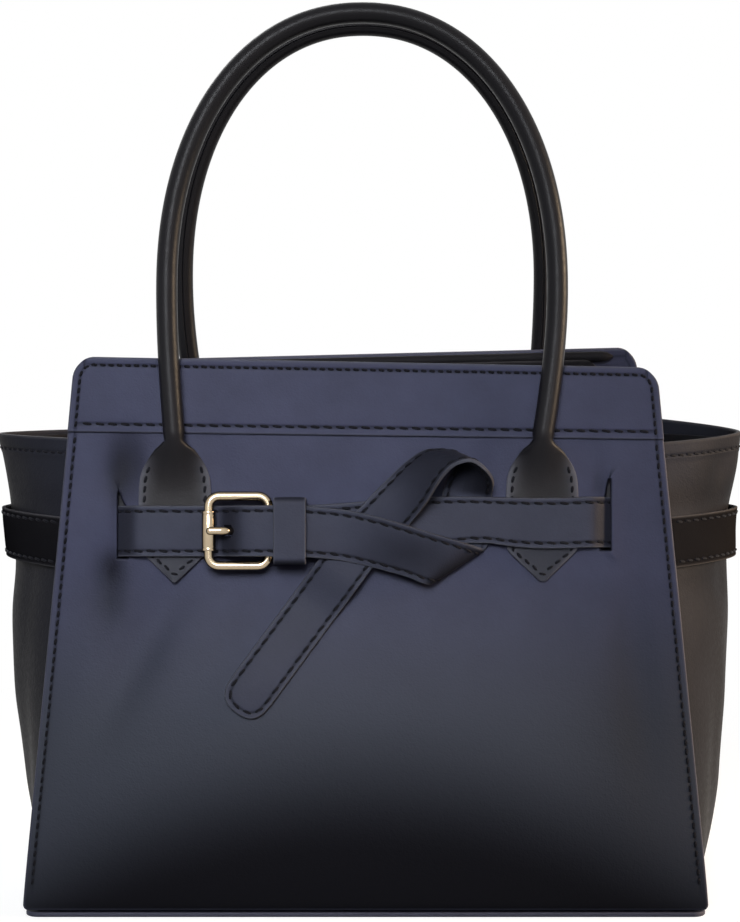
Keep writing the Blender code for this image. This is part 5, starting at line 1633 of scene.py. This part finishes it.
def make_side_strap(word, side):
    inset, half = edge_profile(STRAP_SKIN, STRAP_ROUND, STRAP_EDGE_GROOVE, STRAP_INSETS)
    half_width = STRAP_WIDTH / 2
    aside = np.concatenate([inset - half_width, [0.0], half_width - inset[::-1]])
    sizes = np.concatenate([half, [half[-1]], half[::-1]])
    sizes = np.repeat(sizes[:, None], SIDE_STRAP_COLUMNS, axis=1)
    sizes[:, [0, -1]] = 0
    near = (half_width - np.abs(aside))[:, None]
    groove, crown = strap_relief(near)
    solid = sizes > 0
    placed = band_on_wing(
        side, SIDE_STRAP_UP + aside, SIDE_THICKNESS / 2 + GAP + STRAP_THICKNESS / 2,
        WALL_THICKNESS + GAP + STRAP_THICKNESS, SIDE_STRAP_COLUMNS, SIDE_STRAP_STANDOFF,
    )
    # Paler edges: partly edge wear, partly a painted highlight
    edge = np.repeat(np.clip(1.15 - near / 0.8, 0, 1), SIDE_STRAP_COLUMNS, axis=1)
    piece = skin(
        word + "_side_strap_leather", placed(np.where(solid, sizes - groove + crown, 0)),
        placed(-np.where(solid, sizes - groove, 0)), side_strap_leather, "bag", edge,
    )
    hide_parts(word + "_side_strap")
    runs = []
    for sign in (-1, 1):
        row = np.argmin(np.abs(aside - sign * (half_width - STRAP_STITCH_INSET)))
        face = placed(np.full_like(sizes, STRAP_SKIN / 2 - 0.1))[row]
        beyond = placed(np.full_like(sizes, STRAP_SKIN / 2 + 0.9))[row]
        runs.append((face[3:-3], (beyond - face)[3:-3], BELT_PITCH))
    return piece, runs


side_strap_leather = leather("side_strap_leather", (0.0092, 0.0088, 0.0100), (0.060, 0.057, 0.060),
                             0.5, gloss=0.0)
side_strap_runs = []
for word, side in SIDES:
    side_strap, runs = make_side_strap(word, side)
    side_strap_runs += runs
    print(side_strap.name, len(side_strap.data.polygons))

# %% Rear strap
rear_stations = root_stations(-1, REAR_SLOT_UP, 1) + root_stations(1, REAR_SLOT_UP, 1)[::-1]
rear_line = strap_line(rear_stations)
rear_strap = strap_piece("rear_strap_leather", BACK, rear_line, strap_leather)
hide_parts("rear_strap")
side_strap_runs += strap_runs(BACK, rear_line, 14.0, rear_line["length"][-1] - 14.0, faces=(1,))
sew("side_and_rear_stitches", side_strap_runs)
print("rear strap", round(rear_line["length"][-1]), "mm long")

# %% [markdown]
# ## Keeper
#
# The keeper is a narrow leather loop that holds the layers of the belt together beside the buckle. It is a
# thin strip, so it hugs the straps with small round corners. Its outline is walked once round, and the
# strip is the same everywhere along it.

# %% Strap keeper
KEEPER_CORNER_RADIUS = 2.2
KEEPER_INSETS = (0.9, 1.6, 2.6, 4.0)
KEEPER_CROWN = 0.16


def rounded_box(half_width, low, high, radius, step=0.6):
    """Outline points, once round, of a box with round corners, with the outward direction at each."""
    corners = ((half_width - radius, high - radius, 0), (-half_width + radius, high - radius, 90),
               (-half_width + radius, low + radius, 180), (half_width - radius, low + radius, 270))
    points = []
    for x, y, start in corners:
        for turn in np.radians(np.linspace(start, start + 90, 7)):
            points.append((x + radius * math.cos(turn), y + radius * math.sin(turn)))
    line = np.array(points + points[:1])
    length = lengths_along(line)
    outline = at_lengths(line, length, np.linspace(0, length[-1], int(length[-1] / step), endpoint=False))
    ring = np.vstack([outline[-1:], outline, outline[:1]])
    return outline, plan_normals(ring)[1:-1]


def make_keeper():
    low = GAP + KEEPER_THICKNESS / 2
    high = CREST_OUT + STRAP_THICKNESS / 2 + GAP + KEEPER_THICKNESS / 2
    half = STRAP_WIDTH / 2 + KEEPER_SLACK + KEEPER_THICKNESS / 2
    outline, outwards = rounded_box(half, low, high, KEEPER_CORNER_RADIUS)
    inset, sizes = edge_profile(KEEPER_THICKNESS, KEEPER_THICKNESS / 2, 0.0, KEEPER_INSETS)
    middle = KEEPER_LEFT + KEEPER_LENGTH / 2
    along = np.concatenate([KEEPER_LEFT + inset, [middle], KEEPER_RIGHT - inset[::-1]])
    sizes = np.concatenate([sizes, sizes[-1:], sizes[::-1]])
    near = np.minimum(along - KEEPER_LEFT, KEEPER_RIGHT - along)
    crown = KEEPER_CROWN * np.clip(near / 4, 0, 1)

    def placed(offset):
        moved = outline[None] + outwards[None] * offset[:, None, None]
        return on_wall(FRONT, along[:, None], LEFT_SLOT_UP + moved[..., 0], moved[..., 1])

    # Paler edges: partly edge wear, partly a painted highlight
    edge = np.repeat(np.clip(1.1 - near / 0.8, 0, 1)[:, None], len(outline), axis=1)
    piece = skin(
        "keeper_leather", placed(sizes + crown * (sizes > 0)), placed(-sizes), strap_leather, "keeper",
        edge, wrap_columns=True,
    )
    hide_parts("strap_keeper")
    return piece


print(make_keeper().name)

# %% [markdown]
# ## Buckle
#
# The buckle is a cast frame of round wire with tight corners, a sleeve that rolls on its left bar, and a
# prong whose eye turns on the pivot bar. Round wire is a ring of points carried along a path. Carrying it
# in code, rather than with a curve's bevel, lets the same function make the frame, the prong, the handles
# and their cords, with a section that may change along the way.

# %% Rings along a path
def loft(name, rings, finish, body, closed=False, edge=None):
    """A closed tube through rings of points; open ends are capped with a fan to their middle."""
    rows, columns = rings.shape[:2]
    numbers = np.arange(rows * columns).reshape(rows, columns)
    quads = grid_quads(numbers, closed, True)
    points = rings.reshape(-1, 3)
    triangles = None
    if not closed:
        points = np.vstack([points, rings[0].mean(axis=0), rings[-1].mean(axis=0)])
        following = np.roll(numbers, -1, axis=1)
        first = np.stack([following[0], numbers[0], np.full(columns, rows * columns)], axis=1)
        last = np.stack([numbers[-1], following[-1], np.full(columns, rows * columns + 1)], axis=1)
        triangles = np.vstack([first, last])
        if edge is not None:
            edge = np.concatenate([edge.ravel(), [edge[0].mean(), edge[-1].mean()]])
    elif edge is not None:
        edge = edge.ravel()
    return build_mesh(name, points, quads, finish, body, edge, triangles)


def wire_rings(path, radius, closed=False, sides=24):
    """Round rings along a path on the front wall; radius may change from point to point."""
    if closed:
        along = np.roll(path, -1, axis=0) - np.roll(path, 1, axis=0)
    else:
        along = np.gradient(path, axis=0)
    along = unit(along)
    aside = unit(np.cross(along, [0.0, 0.0, 1.0]))
    above = np.cross(aside, along)
    turn = full_turn(sides)[:, None]
    radius = np.broadcast_to(np.asarray(radius, float), len(path))[:, None, None]
    place = path[:, None] + radius * (aside[:, None] * np.cos(turn) + above[:, None] * np.sin(turn))
    return on_wall(FRONT, *np.moveaxis(place, -1, 0))


def turned_rings(profile, centre, sides=48):
    """Rings of a turned piece on the front wall: profile rows are (radius, place along its axis)."""
    turn = full_turn(sides)
    radius, along = np.array(profile).T[..., None]
    return on_wall(
        FRONT, centre[0] + radius * np.cos(turn), centre[1] + along, centre[2] + radius * np.sin(turn)
    )


print("ring helpers ready")

# %% Frame, roller and prong
def make_buckle_frame():
    half = FRAME_WIDTH / 2 - WIRE_RADIUS
    reach = (FRAME_PIVOT_ACROSS - FRAME_BAR_ACROSS) / 2
    middle = (FRAME_PIVOT_ACROSS + FRAME_BAR_ACROSS) / 2
    outline, _ = rounded_box(reach, -half, half, FRAME_CORNER_RADIUS, 0.5)
    across = middle + outline[:, 0]
    share = (across - FRAME_BAR_ACROSS) / SPACING
    out = ROLLER_OUT + (PIVOT_OUT - ROLLER_OUT) * share
    path = np.column_stack([across, LEFT_SLOT_UP + outline[:, 1], out])
    piece = loft("buckle_frame_gilt", wire_rings(path, WIRE_RADIUS, True), gilt_metal, "buckle",
                 closed=True)
    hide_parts("buckle_frame")
    return piece


def make_roller():
    """A rolled sleeve with a bead at each end."""
    inner = WIRE_RADIUS + RUNNING_GAP
    half = ROLLER_LENGTH / 2
    outer = ROLLER_RADIUS + 0.2
    profile = [
        (inner, -half + 0.15), (inner + 0.1, -half), (outer - 0.15, -half), (outer, -half + 0.15),
        (outer, -half + 1.1), (outer - 0.16, -half + 1.3), (outer - 0.16, -half + 1.5),
        (outer - 0.04, -half + 1.7),
    ]
    profile += [(radius, -along) for radius, along in reversed(profile)]
    rings = turned_rings(profile, (FRAME_BAR_ACROSS, LEFT_SLOT_UP, ROLLER_OUT))
    piece = loft("buckle_roller_gilt", rings, gilt_metal, "roller", closed=True)
    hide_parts("buckle_roller")
    return piece


PRONG_SHARES = (
    (-0.02, 1.0), (0.10, 1.0), (0.22, 0.98), (0.30, 0.84), (0.355, 0.50), (0.40, 0.14), (0.46, -0.06),
    (0.60, -0.12), (0.91, -0.08),
)


def make_prong():
    """A shank that bows over the straps to a rounded tip, and the eye that turns on the pivot bar."""
    high = ROLLER_OUT + ROLLER_RADIUS + GAP + PRONG_RADIUS
    rows = [(FRAME_BAR_ACROSS + along * SPACING, LEFT_SLOT_UP, PIVOT_OUT + share * (high - PIVOT_OUT))
            for along, share in PRONG_SHARES]
    rows.insert(0, (rows[0][0] - PRONG_OVERHANG, LEFT_SLOT_UP, high))
    path = np.array(spline_through(rows, 90))
    tip = np.clip(lengths_along(path) / PRONG_RADIUS, 0, 1)
    radius = PRONG_RADIUS * np.sqrt(np.clip(1 - (1 - tip) ** 2, 0.0025, 1))
    shank = loft("prong_gilt", wire_rings(path, radius), gilt_metal, "prong")
    bore = WIRE_RADIUS + RUNNING_GAP
    profile = [
        (bore, -PRONG_RADIUS), (EYE_RADIUS - 0.3, -PRONG_RADIUS), (EYE_RADIUS, -PRONG_RADIUS + 0.3),
        (EYE_RADIUS, PRONG_RADIUS - 0.3), (EYE_RADIUS - 0.3, PRONG_RADIUS), (bore, PRONG_RADIUS),
    ]
    rings = turned_rings(profile, (FRAME_PIVOT_ACROSS, LEFT_SLOT_UP, PIVOT_OUT))
    eye = loft("prong_eye_gilt", rings, gilt_metal, "prong", closed=True)
    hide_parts("buckle_prong")
    return shank, eye


print(make_buckle_frame().name, make_roller().name, [piece.name for piece in make_prong()])

# %% [markdown]
# ## Handles
#
# Each handle is one strip of leather, rolled round a cord into a tube and left flat at both ends, where it
# flares into a foot, is sewn under the belt, and ends in a point. So tube and feet are one mesh here: rings
# that start as the flat point, widen, close into the tube at the neck, run over the arch and open out again.
# The seam is on the side that faces the bag's middle. Tube and feet stay one fixed mesh, parented to no body.

# %% The handle's path and sections
HANDLE_RADIUS = 4.7
HANDLE_WALL = 1.3
TAB_SPACING = 162.4
TAB_OFFSET = {FRONT: -3.2, BACK: -0.6}
TAB_WIDTH = 32.0
TAB_THICKNESS = 1.6
TAB_POINT_UP = 144.5
TAB_NECK_UP = 209.0
HANDLE_SPAN = 172.6
HANDLE_OFFSET = {FRONT: -1.6, BACK: 1.3}
HANDLE_SPRING_UP = 275.0
HANDLE_APEX_UP = 397.0
HANDLE_ROUNDNESS = 2.14
HANDLE_STEP = 2.0
HANDLE_OUT = GAP + BAND_THICKNESS + GAP + HANDLE_RADIUS
TAB_SHARES = np.array((
    (0.0, 0.05, 0.0), (0.22, 0.98, 0.0), (0.30, 1.0, 0.0), (0.59, 1.0, 0.0), (0.66, 0.99, 0.07),
    (0.73, 0.96, 0.22), (0.80, 0.85, 0.42), (0.86, 0.69, 0.60), (0.92, 0.52, 0.80), (1.0, 0.0, 1.0),
))
ROUND_POWER = 2.0
FLAT_POWER = 4.5
BULGE_REACH = 6.0


def leg_across(wall, side, up):
    """Where a handle's leg stands between its neck and the spring of the arch."""
    share = math.sin(math.pi / 2 * (up - TAB_NECK_UP) / (HANDLE_SPRING_UP - TAB_NECK_UP))
    offset = TAB_OFFSET[wall] + (HANDLE_OFFSET[wall] - TAB_OFFSET[wall]) * share
    return offset + side * (TAB_SPACING + (HANDLE_SPAN - TAB_SPACING) * share) / 2


def handle_line(wall):
    """Even points (across, up) from the left foot's point, over the arch, to the right foot's point."""
    left_foot, right_foot = (TAB_OFFSET[wall] + side * TAB_SPACING / 2 for side in (-1, 1))
    points = [(left_foot, up) for up in np.arange(TAB_POINT_UP, TAB_NECK_UP, 1.0)]
    rising = np.arange(TAB_NECK_UP, HANDLE_SPRING_UP, HANDLE_STEP)
    points += [(leg_across(wall, -1, up), up) for up in rising]
    power = 2 / HANDLE_ROUNDNESS
    for angle in np.linspace(0, math.pi, 181):
        cosine, sine = math.cos(angle), max(math.sin(angle), 0.0)
        points.append((HANDLE_OFFSET[wall] - math.copysign(abs(cosine) ** power, cosine) * HANDLE_SPAN / 2,
                       HANDLE_SPRING_UP + sine ** power * (HANDLE_APEX_UP - HANDLE_SPRING_UP)))
    falling = np.arange(HANDLE_SPRING_UP - HANDLE_STEP, TAB_NECK_UP, -HANDLE_STEP)
    points += [(leg_across(wall, 1, up), up) for up in falling]
    points += [(right_foot, up) for up in np.arange(TAB_NECK_UP, TAB_POINT_UP - 0.01, -1.0)]
    line = np.array(points)
    length = lengths_along(line)
    places = np.linspace(0, length[-1], int(length[-1] / HANDLE_STEP))
    return softened(at_lengths(line, length, places), 3.0, places[1])


def tab_section(up):
    """Half width, half thickness, distance of the back and roundness of a foot's section."""
    along = np.clip((up - TAB_POINT_UP) / (TAB_NECK_UP - TAB_POINT_UP), 0, 1)
    grid = np.linspace(0, 1, 401)
    widths = softened(np.interp(grid, TAB_SHARES[:, 0], TAB_SHARES[:, 1]), 0.018, 0.0025)
    rounds = softened(np.interp(grid, TAB_SHARES[:, 0], TAB_SHARES[:, 2]), 0.025, 0.0025)
    width_share = np.interp(along, grid, widths)
    round_share = np.clip(np.interp(along, grid, rounds), 0, 1)
    half_width = np.maximum(width_share * TAB_WIDTH / 2, HANDLE_RADIUS * round_share)
    half_thickness = TAB_THICKNESS / 2 + (HANDLE_RADIUS - TAB_THICKNESS / 2) * round_share
    back = GAP + (HANDLE_OUT - HANDLE_RADIUS - GAP) * round_share ** 2
    return half_width, half_thickness, back, round_share


def tab_level(up, aside, face):
    """Distance out of a foot's surface: face runs from -1 on its back to 1 on its front.

    The tube's end bulges along the middle, and the leather beside it lies flat."""
    _, half_thickness, back, round_share = tab_section(up)
    middle = np.exp(-(aside / BULGE_REACH) ** 2 * np.clip(1.1 - round_share, 0, 1))
    return back + (TAB_THICKNESS / 2 + (half_thickness - TAB_THICKNESS / 2) * middle) * (1 + face)


handle_paths = {wall: handle_line(wall) for wall in (FRONT, BACK)}
print("handle and feet:", round(len(handle_paths[FRONT]) * HANDLE_STEP), "mm along")

# %% Handle leather
SEAM_RISE = 0.35
SEAM_REACH = math.radians(9)
SEAM_GAP_REACH = math.radians(3)
HANDLE_SIDES = 64
FLAT_FROM_UP = 178.0
FLAT_FADE = 12.0
FOOT_SEAM_TOP = 196.0
FOOT_STITCH_INSET = 2.6


def handle_turns():
    """Angles round the tube, closer together at the seam, which faces the bag's middle."""
    even = np.linspace(-1, 1, HANDLE_SIDES, endpoint=False)
    bent = np.sign(even) * (0.45 * np.abs(even) + 0.55 * np.abs(even) ** 2.2)
    return -math.pi / 2 + math.pi * bent


def handle_rings(wall, line):
    """Rings from the point of one foot, through the tube, to the point of the other."""
    turn = handle_turns()
    up = line[:, 1]
    half_width, _, _, round_share = tab_section(up)
    along = unit(np.gradient(line, axis=0))
    foot = np.clip((TAB_NECK_UP - up) / 6, 0, 1)
    aside_x = along[:, 1] * (1 - foot) + np.sign(along[:, 1]) * foot
    aside_y = -along[:, 0] * (1 - foot)
    away = np.abs((turn + math.pi / 2 + math.pi) % (2 * math.pi) - math.pi)
    lips = np.exp(-(away / SEAM_REACH) ** 2) - 1.7 * np.exp(-(away / SEAM_GAP_REACH) ** 2)
    raised = SEAM_RISE * lips[None, :] * np.clip((up - TAB_NECK_UP - 4) / 10, 0, 1)[:, None]
    power = (2 / (ROUND_POWER + (FLAT_POWER - ROUND_POWER) * (1 - round_share)))[:, None]
    cosine = np.sign(np.cos(turn)) * np.abs(np.cos(turn)) ** power
    sine = np.sign(np.sin(turn)) * np.abs(np.sin(turn)) ** power
    wide = cosine * (half_width[:, None] + raised)
    out = tab_level(up[:, None], wide, sine) + sine * raised
    across = line[:, :1] + aside_x[:, None] * wide
    height = line[:, 1:] + aside_y[:, None] * wide
    return on_wall(wall, across, height, out + belly(across, height))


def bend_at_neck(piece):
    """Bakes the piece's placement into its mesh."""
    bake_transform(piece)


def foot_runs(wall):
    """Stitches round both feet: down one side from the flare, round the point, and up the other."""
    up = np.linspace(FOOT_SEAM_TOP, TAB_POINT_UP + 13.0, 40)
    right = tab_section(up)[0] - FOOT_STITCH_INSET
    tip = np.linspace(0, 1, 10)[1:]
    tip_across = right[-1] * (1 - tip)
    tip_up = up[-1] + (TAB_POINT_UP + 3.6 - up[-1]) * tip
    across = np.concatenate([right, tip_across, -tip_across[::-1][1:], -right[::-1]])
    heights = np.concatenate([up, tip_up, tip_up[::-1][1:], up[::-1]])
    runs = []
    for side in (-1, 1):
        middle = TAB_OFFSET[wall] + side * TAB_SPACING / 2
        face = tab_level(heights, across, 1.0) - 0.12 + belly(middle + across, heights)
        points = on_wall(wall, middle + across, heights, face)
        beyond = on_wall(wall, middle + across, heights, face + 1.0)
        runs.append((points, beyond - points, BELT_PITCH - 1.2))
    return runs


for word, wall in WALLS:
    rings = handle_rings(wall, handle_paths[wall])
    # Paler flanks on the flat feet: partly edge wear, partly a painted highlight
    foot_edge = np.clip((TAB_NECK_UP - 8 - handle_paths[wall][:, 1]) / 8, 0, 1)[:, None]
    flank = np.abs(np.cos(handle_turns()))[None, :] ** 3
    handle = loft(word + "_handle_leather", rings, handle_leather, None, edge=foot_edge * flank)
    flat = np.repeat(np.clip((FLAT_FROM_UP - handle_paths[wall][:, 1]) / FLAT_FADE, 0, 1), rings.shape[1])
    flat = np.concatenate([flat, [1.0, 1.0]]).astype(np.float32)
    handle.data.attributes.new("foot", "FLOAT", "POINT").data.foreach_set("value", flat)
    bend_at_neck(handle)
    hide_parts(word + "_handle_sleeve", word + "_left_tab", word + "_right_tab")
    print(handle.name, len(handle.data.polygons), "faces")
sew("foot_stitches", foot_runs(FRONT) + foot_runs(BACK))

# %% [markdown]
# ## Cords inside the handles
#
# The rolled tubes keep their shape because a thick cotton cord runs through them. It shows only if the bag
# comes apart, but it is there: four strands laid in a twist, made as one ring with four soft lobes that
# turns as it goes along.

# %% Handle cords
CORD_RADIUS = HANDLE_RADIUS - HANDLE_WALL - GAP
CORD_STRANDS = 4
CORD_TWIST = 26.0
CORD_SIDES = 32


def make_cord(word, wall):
    inside = handle_paths[wall][handle_paths[wall][:, 1] > TAB_NECK_UP + 1.0]
    turn = full_turn(CORD_SIDES)
    along = unit(np.gradient(inside, axis=0))
    phase = 2 * np.pi * lengths_along(inside)[:, None] / CORD_TWIST
    radius = CORD_RADIUS * (0.90 + 0.10 * np.cos(CORD_STRANDS * (turn[None, :] - phase)))
    wide = np.cos(turn) * radius
    across = inside[:, :1] + along[:, 1:] * wide
    height = inside[:, 1:] - along[:, :1] * wide
    rings = on_wall(wall, across, height, HANDLE_OUT + np.sin(turn) * radius)
    cord = loft(word + "_handle_cord", rings, cord_cotton, None)
    bend_at_neck(cord)
    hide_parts(word + "_handle_core")
    return cord


print([make_cord(word, wall).name for word, wall in WALLS])

# %% [markdown]
# ## The turned rim
#
# Between panel and facing the board's top edge would show. On the real bag the facing's leather is rolled
# over it, so a soft bead of leather runs along the top of each wall, just below the panel's edge.

# %% Rim
RIM_OUT = -3.3
RIM_UP = WALL_HEIGHT - 3.2
RIM_HALF_LENGTH = 118.0
RIM_HALF_WIDTH = 2.3
RIM_HALF_HEIGHT = 2.6
RIM_STEPS = 90
RIM_SIDES = 16


def make_rim(word, wall):
    """A bead with rounded ends that follows the slump of its wall."""
    across = np.linspace(-RIM_HALF_LENGTH, RIM_HALF_LENGTH, RIM_STEPS)
    turn = full_turn(RIM_SIDES)
    size = np.clip((RIM_HALF_LENGTH - np.abs(across)) / 4.0, 0.05, 1)[:, None] ** 0.5
    up = slumped(wall, across, np.full_like(across, RIM_UP))[:, None] + RIM_HALF_HEIGHT * size * np.sin(turn)
    rings = on_wall(wall, across[:, None], up, RIM_OUT + RIM_HALF_WIDTH * size * np.cos(turn))
    return loft(word + "_rim_leather", rings, inner_leather, "bag")


print([make_rim(word, wall).name for word, wall in WALLS])

# %% [markdown]
# ## Magnetic snap
#
# Two plated discs face each other at the middle of the mouth, one with a boss that drops into the other's
# recess. They are turned parts, so each is a profile spun round its axis, with its edges broken to catch
# light.

# %% Snap halves
SNAP_HEIGHT = 222.0
SNAP_RADIUS = 7.0
SNAP_THICKNESS = 2.2
SNAP_BOSS_RADIUS = 2.5
SNAP_BOSS_HEIGHT = 1.6
SNAP_SIDES = 64


def make_snap_half(name, wall, boss):
    """A disc on the facing; its profile runs from the back's middle round the rim to the face's middle."""
    rim = [(0.05, 0.0), (SNAP_RADIUS - 0.3, 0.0), (SNAP_RADIUS, 0.3), (SNAP_RADIUS, SNAP_THICKNESS - 0.5),
           (SNAP_RADIUS - 0.15, SNAP_THICKNESS - 0.15), (SNAP_RADIUS - 0.5, SNAP_THICKNESS),
           (SNAP_RADIUS - 1.6, SNAP_THICKNESS), (SNAP_RADIUS - 1.8, SNAP_THICKNESS - 0.15)]
    if boss:
        top = SNAP_THICKNESS + SNAP_BOSS_HEIGHT
        rim += [(SNAP_BOSS_RADIUS + 0.1, SNAP_THICKNESS - 0.15), (SNAP_BOSS_RADIUS, SNAP_THICKNESS),
                (SNAP_BOSS_RADIUS, top - 0.4), (SNAP_BOSS_RADIUS - 0.4, top), (0.05, top)]
    else:
        floor = SNAP_THICKNESS - min(SNAP_BOSS_HEIGHT, SNAP_THICKNESS / 2)
        recess = SNAP_BOSS_RADIUS + GAP
        rim += [(recess + 0.3, SNAP_THICKNESS - 0.15), (recess, SNAP_THICKNESS - 0.4), (recess, floor),
                (0.05, floor)]
    turn = full_turn(SNAP_SIDES)
    start = -(LINING_INSET + FACING_THICKNESS + GAP)
    rings = np.array([
        on_wall(wall, radius * np.cos(turn), SNAP_HEIGHT + radius * np.sin(turn), start - along)
        for radius, along in rim
    ])
    piece = loft(name + "_plate", rings, snap_metal, "bag")
    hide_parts(name)
    return piece


SNAP_HALVES = (("magnet_stud", FRONT, True), ("magnet_socket", BACK, False))
print([make_snap_half(*half).name for half in SNAP_HALVES])

# %% [markdown]
# ## Camera, light and floor
#
# The photograph was taken from about a metre in front and a little above, with a long lens. The light is a
# large soft source high on the left, which lights the upper front more than the foot, and a small warm one
# from the right. A very weak one touches the right wing, and one behind the bag serves the other views.
# Painted shade in the leather's colour darkens the foot further and the leather wherever it rolls away. The
# floor and the world are white for the camera and for reflections, and dark for bounced light, so that pale
# ground doesn't fill the bag's shadows.

# %% Camera
camera_data = bpy.data.cameras.new("camera")
camera = bpy.data.objects.new("camera", camera_data)
bpy.context.scene.collection.objects.link(camera)
bpy.context.scene.camera = camera
camera.location = (0.0019, -1.145, 0.290)
camera.rotation_euler = (math.radians(90 - 4.736), 0.0, 0.0)
camera_data.sensor_fit = "VERTICAL"
camera_data.sensor_height = 36.0
camera_data.lens = 96.85
bpy.context.scene.view_settings.view_transform = "Standard"
print("camera", round(-camera.location.y, 2), "m in front")


# %% Lights
def aim(source, target):
    direction = np.array(target) - np.array(source.location)
    source.rotation_euler = (
        math.atan2(math.hypot(direction[0], direction[1]), -direction[2]),
        0.0, math.atan2(direction[1], direction[0]) - math.pi / 2,
    )


def add_light(name, place, target, size, power, colour, beam):
    data = bpy.data.lights.new(name, "AREA")
    data.spread = math.radians(beam)
    data.shape = "RECTANGLE"
    data.size, data.size_y = size
    data.energy = power
    data.color = colour
    made = bpy.data.objects.new(name, data)
    bpy.context.scene.collection.objects.link(made)
    made.location = place
    aim(made, target)


# Name, place, target, size, power, colour and beam in degrees
LIGHTS = (
    ("key_light", (-0.16, -0.86, 0.60), (-0.085, -0.06, 0.20), (0.50, 0.40), 0.86, (0.90, 0.94, 1.0), 40.0),
    ("wide_light", (-0.20, -0.90, 1.15), (0.0, -0.03, 0.19), (0.9, 0.6), 0.9, (0.95, 0.97, 1.0), 180.0),
    ("warm_light", (1.15, -0.02, 0.36), (0.16, 0.0, 0.06), (0.5, 0.5), 2.3, (1.0, 0.74, 0.48), 45.0),
    ("side_light", (0.55, -0.90, 0.35), (0.155, -0.05, 0.187), (0.12, 0.12), 0.02, (0.86, 0.92, 1.0), 20.0),
    ("back_light", (-0.3, 1.0, 0.9), (0.0, 0.0, 0.2), (0.9, 0.6), 5.0, (1.0, 1.0, 1.0), 180.0),
)
for light in LIGHTS:
    add_light(*light)
print("lights:", [light[0] for light in LIGHTS])


# %% World
def seen_rays(tree):
    """1 for camera, reflection and transmission rays, and 0 for the rays that light the bag."""
    ray = add_node(tree, "ShaderNodeLightPath").outputs
    either = maths(tree, "MAXIMUM", ray["Is Camera Ray"], ray["Is Glossy Ray"])
    return maths(tree, "MAXIMUM", either, ray["Is Transmission Ray"])


world = bpy.data.worlds.new("studio")
bpy.context.scene.world = world
world.use_nodes = True
world_tree = world.node_tree
background = world_tree.nodes["Background"]
fill = add_node(world_tree, "ShaderNodeBackground", {"Color": (0.95, 0.95, 1.0, 1.0), "Strength": 0.07})
background.inputs["Color"].default_value = (1.0, 1.0, 1.0, 1.0)
background.inputs["Strength"].default_value = 1.0
world_mix = add_node(world_tree, "ShaderNodeMixShader", {
    0: seen_rays(world_tree), 1: fill.outputs[0], 2: background.outputs[0],
})
world_tree.links.new(world_mix.outputs[0], world_tree.nodes["World Output"].inputs["Surface"])
print("world:", world.name)


# %% Floor
FLOOR_SIZE = 60.0
SHADOW_START = 0.16
SHADOW_REACH = 0.55


def make_floor():
    mesh = bpy.data.meshes.new("floor")
    half = FLOOR_SIZE / 2
    mesh.from_pydata([(-half, -half, 0), (half, -half, 0), (half, half, 0), (-half, half, 0)], [],
                     [(0, 1, 2, 3)])
    floor = bpy.data.objects.new("floor", mesh)
    bpy.context.scene.collection.objects.link(floor)
    floor.location.z = -0.0002
    made = bpy.data.materials.new("pale_floor")
    made.use_nodes = True
    tree = made.node_tree
    tree.nodes.remove(tree.nodes["Principled BSDF"])
    places = add_node(tree, "ShaderNodeTexCoord").outputs["Object"]
    away = add_node(tree, "ShaderNodeVectorMath", {0: places}, operation="LENGTH").outputs["Value"]
    far = remapped(tree, away, SHADOW_START, SHADOW_REACH, smooth=True)
    white = add_node(tree, "ShaderNodeEmission", {"Color": (1, 1, 1, 1), "Strength": 1.0})
    glow = add_node(tree, "ShaderNodeEmission", {"Color": (1, 1, 1, 1), "Strength": 0.80})
    ground = add_node(tree, "ShaderNodeBsdfDiffuse", {"Color": (0.35, 0.35, 0.35, 1)})
    lit = add_node(tree, "ShaderNodeAddShader", {0: glow.outputs[0], 1: ground.outputs[0]})
    seen = add_node(tree, "ShaderNodeMixShader", {0: far, 1: lit.outputs[0], 2: white.outputs[0]})
    dark = add_node(tree, "ShaderNodeBsdfDiffuse", {"Color": (0.10, 0.10, 0.11, 1)})
    mix = add_node(tree, "ShaderNodeMixShader", {0: seen_rays(tree), 1: dark.outputs[0], 2: seen.outputs[0]})
    tree.links.new(mix.outputs[0], tree.nodes["Material Output"].inputs["Surface"])
    mesh.materials.append(made)
    floor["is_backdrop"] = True
    return floor


print(make_floor().name)

# %% [markdown]
# ## Sizes, and the end
#
# Both boxes, of the solids and of the dressed bag, are printed side by side. The dressed bag may stand
# proud of its solids only by what soft leather allows.

# %% Print both boxes and finish
visual_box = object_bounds()
for label, low, high in (("cad", *cad_box), ("visual", *visual_box)):
    print(label, [round(b - a, 4) for a, b in zip(low, high)])
